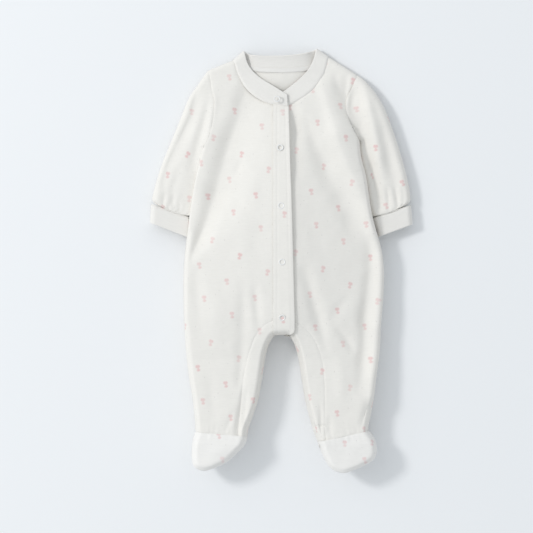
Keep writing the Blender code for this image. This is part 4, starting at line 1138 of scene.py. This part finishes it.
def doubled(points, out, ring=False):
    """Folds a strip in two at its last row: its outer layer, the fold, and its inner layer back to the start.

    out: 1 where the strip's normals point out of the suit, and -1 where they point into it.
    """
    normal = normals_of(points, ring) * out
    ahead = points[-1] - points[-2]
    ahead /= np.linalg.norm(ahead, axis=-1, keepdims=True)
    turn = [points[-1] + ahead * LAYER_HALF * np.sin(angle) + normal[-1] * LAYER_HALF * np.cos(angle)
            for angle in FOLD_ANGLES]
    return np.concatenate([points + normal * LAYER_HALF, turn, (points - normal * LAYER_HALF)[::-1]])


def strip_places(points, ring=False):
    """Flat places on a strip, with x along its rows and y across them."""
    closed = np.concatenate([points, points[:, :1]], axis=1) if ring else points
    across = np.linalg.norm(np.diff(closed, axis=1), axis=2).mean(0)
    x = np.concatenate([[0], np.cumsum(across)])
    y = np.concatenate([[0], np.cumsum(np.linalg.norm(np.diff(points, axis=0), axis=2).mean(1))])
    return np.stack(np.meshgrid(x, y), axis=-1)


def make_cuffs():
    """Rows run round the wrist, from the sleeve to the cuff's fold and back inside."""
    for side in SIDES:
        ring = as_ring(*cuff_halves(side, np.linspace(0, 1, CUFF_ROWS)))
        plan = ring[..., :2]
        seam_line = np.array([CUFF_OUTER[side][0], CUFF_INNER[side][0]])
        seam = Seam(seam_line, dip=0.4, pucker=0.4, step=5.0, reach=6.0)
        relief = undulation(plan, seed=31.0, scale=22.0, height=0.35) + sewn(plan, [seam], seed=8.0)
        relief[:, len(TUBE_SHARES):] = np.minimum(relief[:, len(TUBE_SHARES):], 0)
        normal = normals_of(ring, ring=True)
        out = np.sign((normal * (ring - ring.mean((0, 1)))).sum())
        band = doubled(ring + normal * out * relief[..., None], out, ring=True)
        sheet = Sheet(band, strip_places(band, ring=True), ring=True)
        piece = cloth(f"cuff_band_{side}", [sheet], RIB_LAYER, rib_knit)
        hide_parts(f"cuff_{side}")


make_cuffs()

# ---- Feet ----
# Each foot has an upper and a sole of the printed knit, coloured paler than the body's knit as a painted
# highlight for the light that the raised feet catch.  The sole turns up round the toe, where its rim shows,
# and meets the upper in a seam.
FOOT_SEAM_SHARE = 0.94  # of the way from the ankle to the toe
FOOT_TIPS = (0.05, 0.95)  # between which shares of the foot's outline its rows end
FOOT_WIDE, FOOT_STEP = 80.0, 2.0
FOOT_ROWS = graded(FOOT_WIDE, FOOT_STEP) / FOOT_WIDE
SOLE_STEP, RIM_POINTS, FOOT_DRAW = 2.2, 9, 15.0
FOOT_FAR = 8  # the column towards which the flat cloth of a foot runs
FOOT_PRINT = {
    "left": [(-80.0, -229.3, 0.2), (-76.0, -260.6, 0.1)],
    "right": [(82.7, -239.7, 0.0), (119.0, -237.8, -0.2), (109.0, -261.0, 0.3)],
}
# Painted highlight: the feet's knit is made paler than the body's to stand for the light the raised feet
# catch.
FOOT_LIT_COLOUR = (0.9, 0.876, 0.84)
foot_knit_painted_highlight = knit_material("foot_cloth_painted_highlight", FOOT_LIT_COLOUR, printed=True)
FOOT_FOLDS = {
    "left": [
        Fold([(-108, -234, 5, 0), (-86, -240, 6, -1.0), (-60, -236, 5, 0)]),
        Fold([(-102, -258, 6, 0), (-84, -252, 8, 0.9), (-66, -243, 6, 0)]),
    ],
    "right": [
        Fold([(60, -242, 5, 0), (84, -238, 6, -1.0), (110, -234, 5, 0)]),
        Fold([(110, -254, 6, 0), (88, -257, 8, 0.9), (68, -252, 6, 0)]),
    ],
}


def make_feet():
    """Rows run from the ankle to the toe, the sole's over the toe's rim and back below."""
    for side in SIDES:
        foot = smooth_line(FOOT[side])
        first, last = FOOT_TIPS
        tips, starts = along(foot, first + (last - first) * FOOT_ROWS), along(ANKLE[side], FOOT_ROWS)
        long = np.linalg.norm(tips - starts, axis=1).max()
        toe_seam = starts + (tips - starts) * FOOT_SEAM_SHARE
        seams = [Seam(toe_seam, dip=0.45, pucker=0.5, step=4.5, reach=6.0), *ANKLE_SEAMS]

        def top(shares):
            """The upper side between two shares of the way to the toe, and its plan."""
            plan = between(starts, tips, shares)
            return outward(on_front(plan), creased(plan, FOOT_FOLDS[side], seams, FOOT_DRAW, [foot])), plan

        upper = top(graded(long * FOOT_SEAM_SHARE, FOOT_STEP) / long)[0]
        rim, plan = top(np.linspace(FOOT_SEAM_SHARE, 1, RIM_POINTS))
        under_starts = along(np.array([FOOT[side][0], GUSSET_BACK[side][-1], FOOT[side][-1]]), FOOT_ROWS)
        under_plan = between(under_starts, tips, graded(long, SOLE_STEP) / long)
        below = inward(on_back(under_plan), creased(under_plan, [], BACK_SEAMS, BACK_DRAW))
        below[:, -1] = on_front(plan)[:, -1]
        sole = np.concatenate([rim[:, :-1], below[:, ::-1]], axis=1)
        for name, points, area in (("upper", upper, 0.0038), ("sole", sole, 0.0048)):
            sheet = Sheet(points, cloth_places(points, 0, far=min(FOOT_FAR, points.shape[1] - 1)))
            piece = cloth(f"foot_{name}_{side}_cloth", [sheet], KNIT, foot_knit_painted_highlight, np.array(FOOT_PRINT[side]))
            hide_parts(f"foot_upper_{side}" if name == "upper" else f"sole_{side}")


make_feet()

# ---- Plackets ----
# Two long straight bands of the printed knit, doubled.  The upper one is sewn to the left front and laps
# over the under one, which is sewn to the right front.  Both end at the crotch, rounded at the corner.
PLACKET_LAYER = 0.85
FLAP_WIDTH = 26.0
FLAP_RAISE = 0.6  # how far the upper one stands off the front at its seam
# What its free edge stands higher, as (y, lift) from the crotch up.
FLAP_LIFT = [(-98.0, 0.6), (-60.0, 0.8), (10.0, 1.2), (70.0, 1.4), (165.0, 2.4), (199.0, 0.8)]
FLAP_EDGE_X = (9.5, 17.0)  # its free edge at the top and at the crotch
FLAP_BOTTOM_Y = -97.3
FLAP_TOP_Y, FLAP_TUCK, FLAP_TUCK_REACH = 203.0, 0.8, 9.0  # its top goes under the neckband
UNDER_EDGE_X, UNDER_BOTTOM_Y = -8.0, -93.0
PLACKET_PRINT = np.array([(2.5, 189.8, 0.1), (4.8, 57.2, -0.1), (3.0, -79.0, 0.1)])
INNER_PLACE = (300, 0)  # where the inner layer lies on the flat cloth, clear of the outer one's print
FLAP_CORNER, FLAP_CURL = 6.0, 1.6  # the corner's radius, and the power with which the lift grows across
SEAM_STITCH_X, EDGE_STITCH, STITCH_WIDTH, STITCH_DEPTH = -4.5, 4.0, 1.1, 0.3
PLACKET_DOWN, FLAP_ACROSS, UNDER_ACROSS = 1.8, 1.3, 1.6  # the points' widest spacing


def placket_band(name, plan, middle, motifs):
    """A doubled band whose fold is its free edge.  plan has its rows across the band."""
    band, outer = doubled(middle.transpose(1, 0, 2), -1), plan.transpose(1, 0, 2)
    places = np.concatenate([outer] + [outer[-1:]] * len(FOLD_ANGLES) + [outer[::-1] + INNER_PLACE])
    return cloth(name, [Sheet(band, places)], PLACKET_LAYER, printed_knit, motifs)


def make_upper_placket():
    """The snap placket, with a stitched groove along its seam and one along its free edge."""
    y = FLAP_TOP_Y - graded(FLAP_TOP_Y - FLAP_BOTTOM_Y, PLACKET_DOWN)
    seam_x = np.full(len(y), PLACKET_SEAM_X["left"][0])
    edge_x = np.interp(y, [CROTCH_Y, PLACKET_TOP_Y], FLAP_EDGE_X[::-1])
    from_end = np.clip(1 - (y - FLAP_BOTTOM_Y) / FLAP_CORNER, 0, 1)
    edge_x = edge_x - FLAP_CORNER * (1 - np.sqrt(1 - from_end**2))
    left, right = np.stack([seam_x, y], -1), np.stack([edge_x, y], -1)
    plan = spread(left, right, FLAP_ACROSS)
    across = np.clip((plan[..., 0] - plan[:, :1, 0]) / FLAP_WIDTH, 0, 1)
    lift = FLAP_RAISE + np.interp(plan[..., 1], *np.array(FLAP_LIFT).T) * across**FLAP_CURL
    lift -= (lift + FLAP_TUCK) * ease(1 - (PLACKET_TOP_Y - plan[..., 1]) / FLAP_TUCK_REACH)
    stitches = [np.array([(SEAM_STITCH_X, PLACKET_TOP_Y), (SEAM_STITCH_X, FLAP_BOTTOM_Y)]),
                np.stack([edge_x - EDGE_STITCH, y], -1)]
    grooves = sum(np.exp(-((near(plan, line)[0] / STITCH_WIDTH) ** 2)) for line in stitches)
    relief = undulation(plan, seed=41.0, scale=34.0, height=0.48) - STITCH_DEPTH * grooves
    relief += sewn(plan, [Seam(left, dip=0.2, pucker=0.15, step=5.0, reach=5.0)], seed=43.0)
    piece = placket_band("placket_upper_band", plan, on_front(plan, lift + relief), PLACKET_PRINT)
    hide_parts("placket_over")


def make_under_placket():
    """The plain placket below it."""
    seam_top = NECK_FRONT["right"][-1][1]
    y = seam_top - graded(seam_top - UNDER_BOTTOM_Y, PLACKET_DOWN)
    seam_x = np.interp(y, [CROTCH_Y, seam_top], PLACKET_SEAM_X["right"][::-1])
    edge_x = np.full(len(y), UNDER_EDGE_X)
    plan = spread(np.stack([seam_x, y], -1), np.stack([edge_x, y], -1), UNDER_ACROSS)
    relief = undulation(plan, seed=47.0, scale=34.0, height=0.18)
    middle = on_front(plan, relief - under_depth(plan[..., 1]))
    piece = placket_band("placket_under_band", plan, middle, NO_PRINT)
    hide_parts("placket_under")


make_upper_placket()
make_under_placket()

# ---- Neckband ----
# A band of the plain rib, folded in two round the neck.  Its front ends lap with the plackets, and the
# back of it stands up a little.
NECK_EDGE_FRONT = {
    "left": [
        (8.5, 213.0), (-0.8, 218.8), (-13.0, 226.5), (-25.2, 234.1), (-36.0, 243.4), (-43.7, 254.5),
        (-48.4, 270.4),
    ],
    "right": [
        (-8.0, 213.5), (3.0, 217.5), (15.0, 226.0), (26.0, 235.0), (36.0, 245.5), (43.0, 258.5),
        (47.3, 273.2),
    ],
}
NECK_EDGE_BACK = {
    "left": [(-48.4, 270.4), (-41.0, 266.3), (-25.0, 264.3), (CENTRE_X, 264.3)],
    "right": [(47.3, 273.2), (40.0, 270.0), (24.0, 266.5), (CENTRE_X, 264.3)],
}
BAND_RAISE, BAND_STAND, BAND_STAND_REACH = 0.8, 6.0, 14.0
BAND_WIDTH = 21.0
BAND_TUCK, BAND_TUCK_DOWN, BAND_TUCK_REACH = 1.4, 1.7, 3.4  # how its seam goes in under the body's cloth
BAND_OFF_BACK = 0.4  # how far it stands off the back all over
BAND_DOWN, BAND_ALONG = 1.6, 1.9  # the points' widest spacing
LAP_POINTS = 12  # across each placket's top
# How far each end stands off the front, as shares of its run and heights.
OVER_LAP = ([0, 0.18, 0.5], [BAND_RAISE, BAND_RAISE, 0])
UNDER_LAP = ([0.45, 0.78, 1], [0, -UNDER_DEPTH[-2][1], -UNDER_DEPTH[-2][1]])
BAND_LIES, BAND_LYING = 14.0, 0.4  # up to this height its relief is all outward, and weaker by this factor


def neckband_runs():
    """The band's seam and free edge, run by run from the upper placket round the neck to the under one."""
    flap_top = np.linspace((FLAP_EDGE_X[0], PLACKET_TOP_Y), NECK_FRONT["left"][-1], LAP_POINTS)[:-1]
    under_corner = NECK_FRONT["right"][-1]
    under_top = np.linspace(under_corner, (UNDER_EDGE_X, under_corner[1]), LAP_POINTS)[1:]
    curves = (NECK_FRONT, NECK_EDGE_FRONT, BACK_NECK, NECK_EDGE_BACK)
    left, right = ([smooth_line(curve[side]) for curve in curves] for side in SIDES)
    return [
        (np.vstack([flap_top, left[0][::-1]]), left[1], "over"),
        (left[2], left[3], "back"),
        (right[2][::-1], right[3][::-1], "back"),
        (np.vstack([right[0], under_top]), right[1][::-1], "under"),
    ]


def make_neckband():
    """Rows run across the band, from its seam to its fold."""
    from_seam = graded(BAND_WIDTH + BAND_TUCK, BAND_DOWN, first=0.5)
    shares = (from_seam - BAND_TUCK) / BAND_WIDTH
    tuck = BAND_TUCK_DOWN * (1 - ease((shares * BAND_WIDTH + BAND_TUCK) / BAND_TUCK_REACH))
    rows = []
    for seam, free, lies in neckband_runs():
        places = graded(lengths(seam)[-1], BAND_ALONG, first=1.2) / lengths(seam)[-1]
        plan = between(along(seam, places), along(free, places), shares)
        if lies == "back":
            points = on_back(plan)
            stands = np.clip(nearest(plan, SHOULDER_LINES) / BAND_STAND_REACH, 0, 1)
            points[..., 2] += BAND_STAND * np.clip(shares, 0, 1) ** 2 * stands + BAND_OFF_BACK
        else:
            raised = np.interp(places, *(OVER_LAP if lies == "over" else UNDER_LAP))
            points = on_front(plan, raised[:, None])
            points[..., 2] -= tuck
        rows.append(points[min(len(rows), 1):])
    grid = np.vstack(rows)
    plan, seam = grid[..., :2], Seam(grid[:, 0, :2], dip=0.15, pucker=0.4, reach=5.0)
    relief = undulation(plan, seed=51.0, scale=26.0, height=0.35) + sewn(plan, [seam], seed=53.0)
    relief = relief[..., None]
    normal = normals_of(grid)
    normal *= np.sign(normal[..., 2].sum())
    grid = grid + normal * np.where(grid[..., 2:] > BAND_LIES, relief, np.abs(relief) * BAND_LYING)
    band = doubled(grid.transpose(1, 0, 2), 1)
    piece = cloth("neck_rib_band", [Sheet(band, strip_places(band))], RIB_LAYER, rib_knit)
    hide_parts("neckband")


make_neckband()

# ---- Neck tape ----
# A narrow woven tape covers the seam inside the back of the neck.
TAPE, TAPE_WIDE, TAPE_ABOVE = 0.8, 6.0, 5.8  # its thickness, its width, and how much of that is on the band
TAPE_START = 0.35  # the share of the back neck's line, from the shoulder on, at which each end is
TAPE_POINTS, TAPE_ROWS, TAPE_CLEAR = 40, 7, 0.2
TAPE_COLOUR = (0.875, 0.85, 0.81)
tape_cloth = knit_material("woven_tape_cloth", TAPE_COLOUR, printed=False, wale=0.5, course=0.5, bump=0.35)


def make_neck_tape():
    """Rows run along the tape, from the one on the band down to the one on the back."""
    shares = np.linspace(TAPE_START, 1, TAPE_POINTS)
    left, right = (along(smooth_line(BACK_NECK[side]), shares) for side in SIDES)
    seam = np.vstack([left, right[-2::-1]])
    above = TAPE_ABOVE - TAPE_WIDE * np.linspace(0, 1, TAPE_ROWS)
    points = on_back(np.stack([seam + (0, row) for row in above]))
    on_band = np.clip(above, 0, None)[:, None] / BAND_WIDTH
    points[..., 2] += BAND_OFF_BACK + BAND_STAND * on_band**2
    points[..., 2] += LAYER_HALF + (RIB_LAYER + TAPE) / 2 + TAPE_CLEAR
    piece = cloth("neck_tape_strip", [Sheet(points, strip_places(points))], TAPE, tape_cloth)
    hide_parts("neck_tape")


make_neck_tape()

# ---- Snaps ----
# Open prong rings of pale nickel, pressed through the placket with the cloth showing in the middle.
SNAP_METAL = (0.86, 0.85, 0.83)


def snap_material():
    """Softly scuffed metal."""
    material = bpy.data.materials.new("pearl_nickel")
    material.use_nodes = True
    tree = material.node_tree
    shader = tree.nodes["Principled BSDF"]
    place = node(tree, "ShaderNodeTexCoord").outputs["Object"]
    scuffs = node(tree, "ShaderNodeTexNoise", {"Vector": place, "Scale": 900.0, "Detail": 3.0}).outputs["Fac"]
    rough = node(tree, "ShaderNodeMapRange", {"Value": scuffs, "To Min": 0.38, "To Max": 0.6}).outputs[0]
    link(tree, shader, rough, "Roughness")
    shader.inputs["Base Color"].default_value = (*SNAP_METAL, 1)
    shader.inputs["Metallic"].default_value = 0.3
    return material


pearl_nickel = snap_material()
for number in range(1, 6):
    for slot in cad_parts[f"snap_{number}"].material_slots:
        slot.material = pearl_nickel
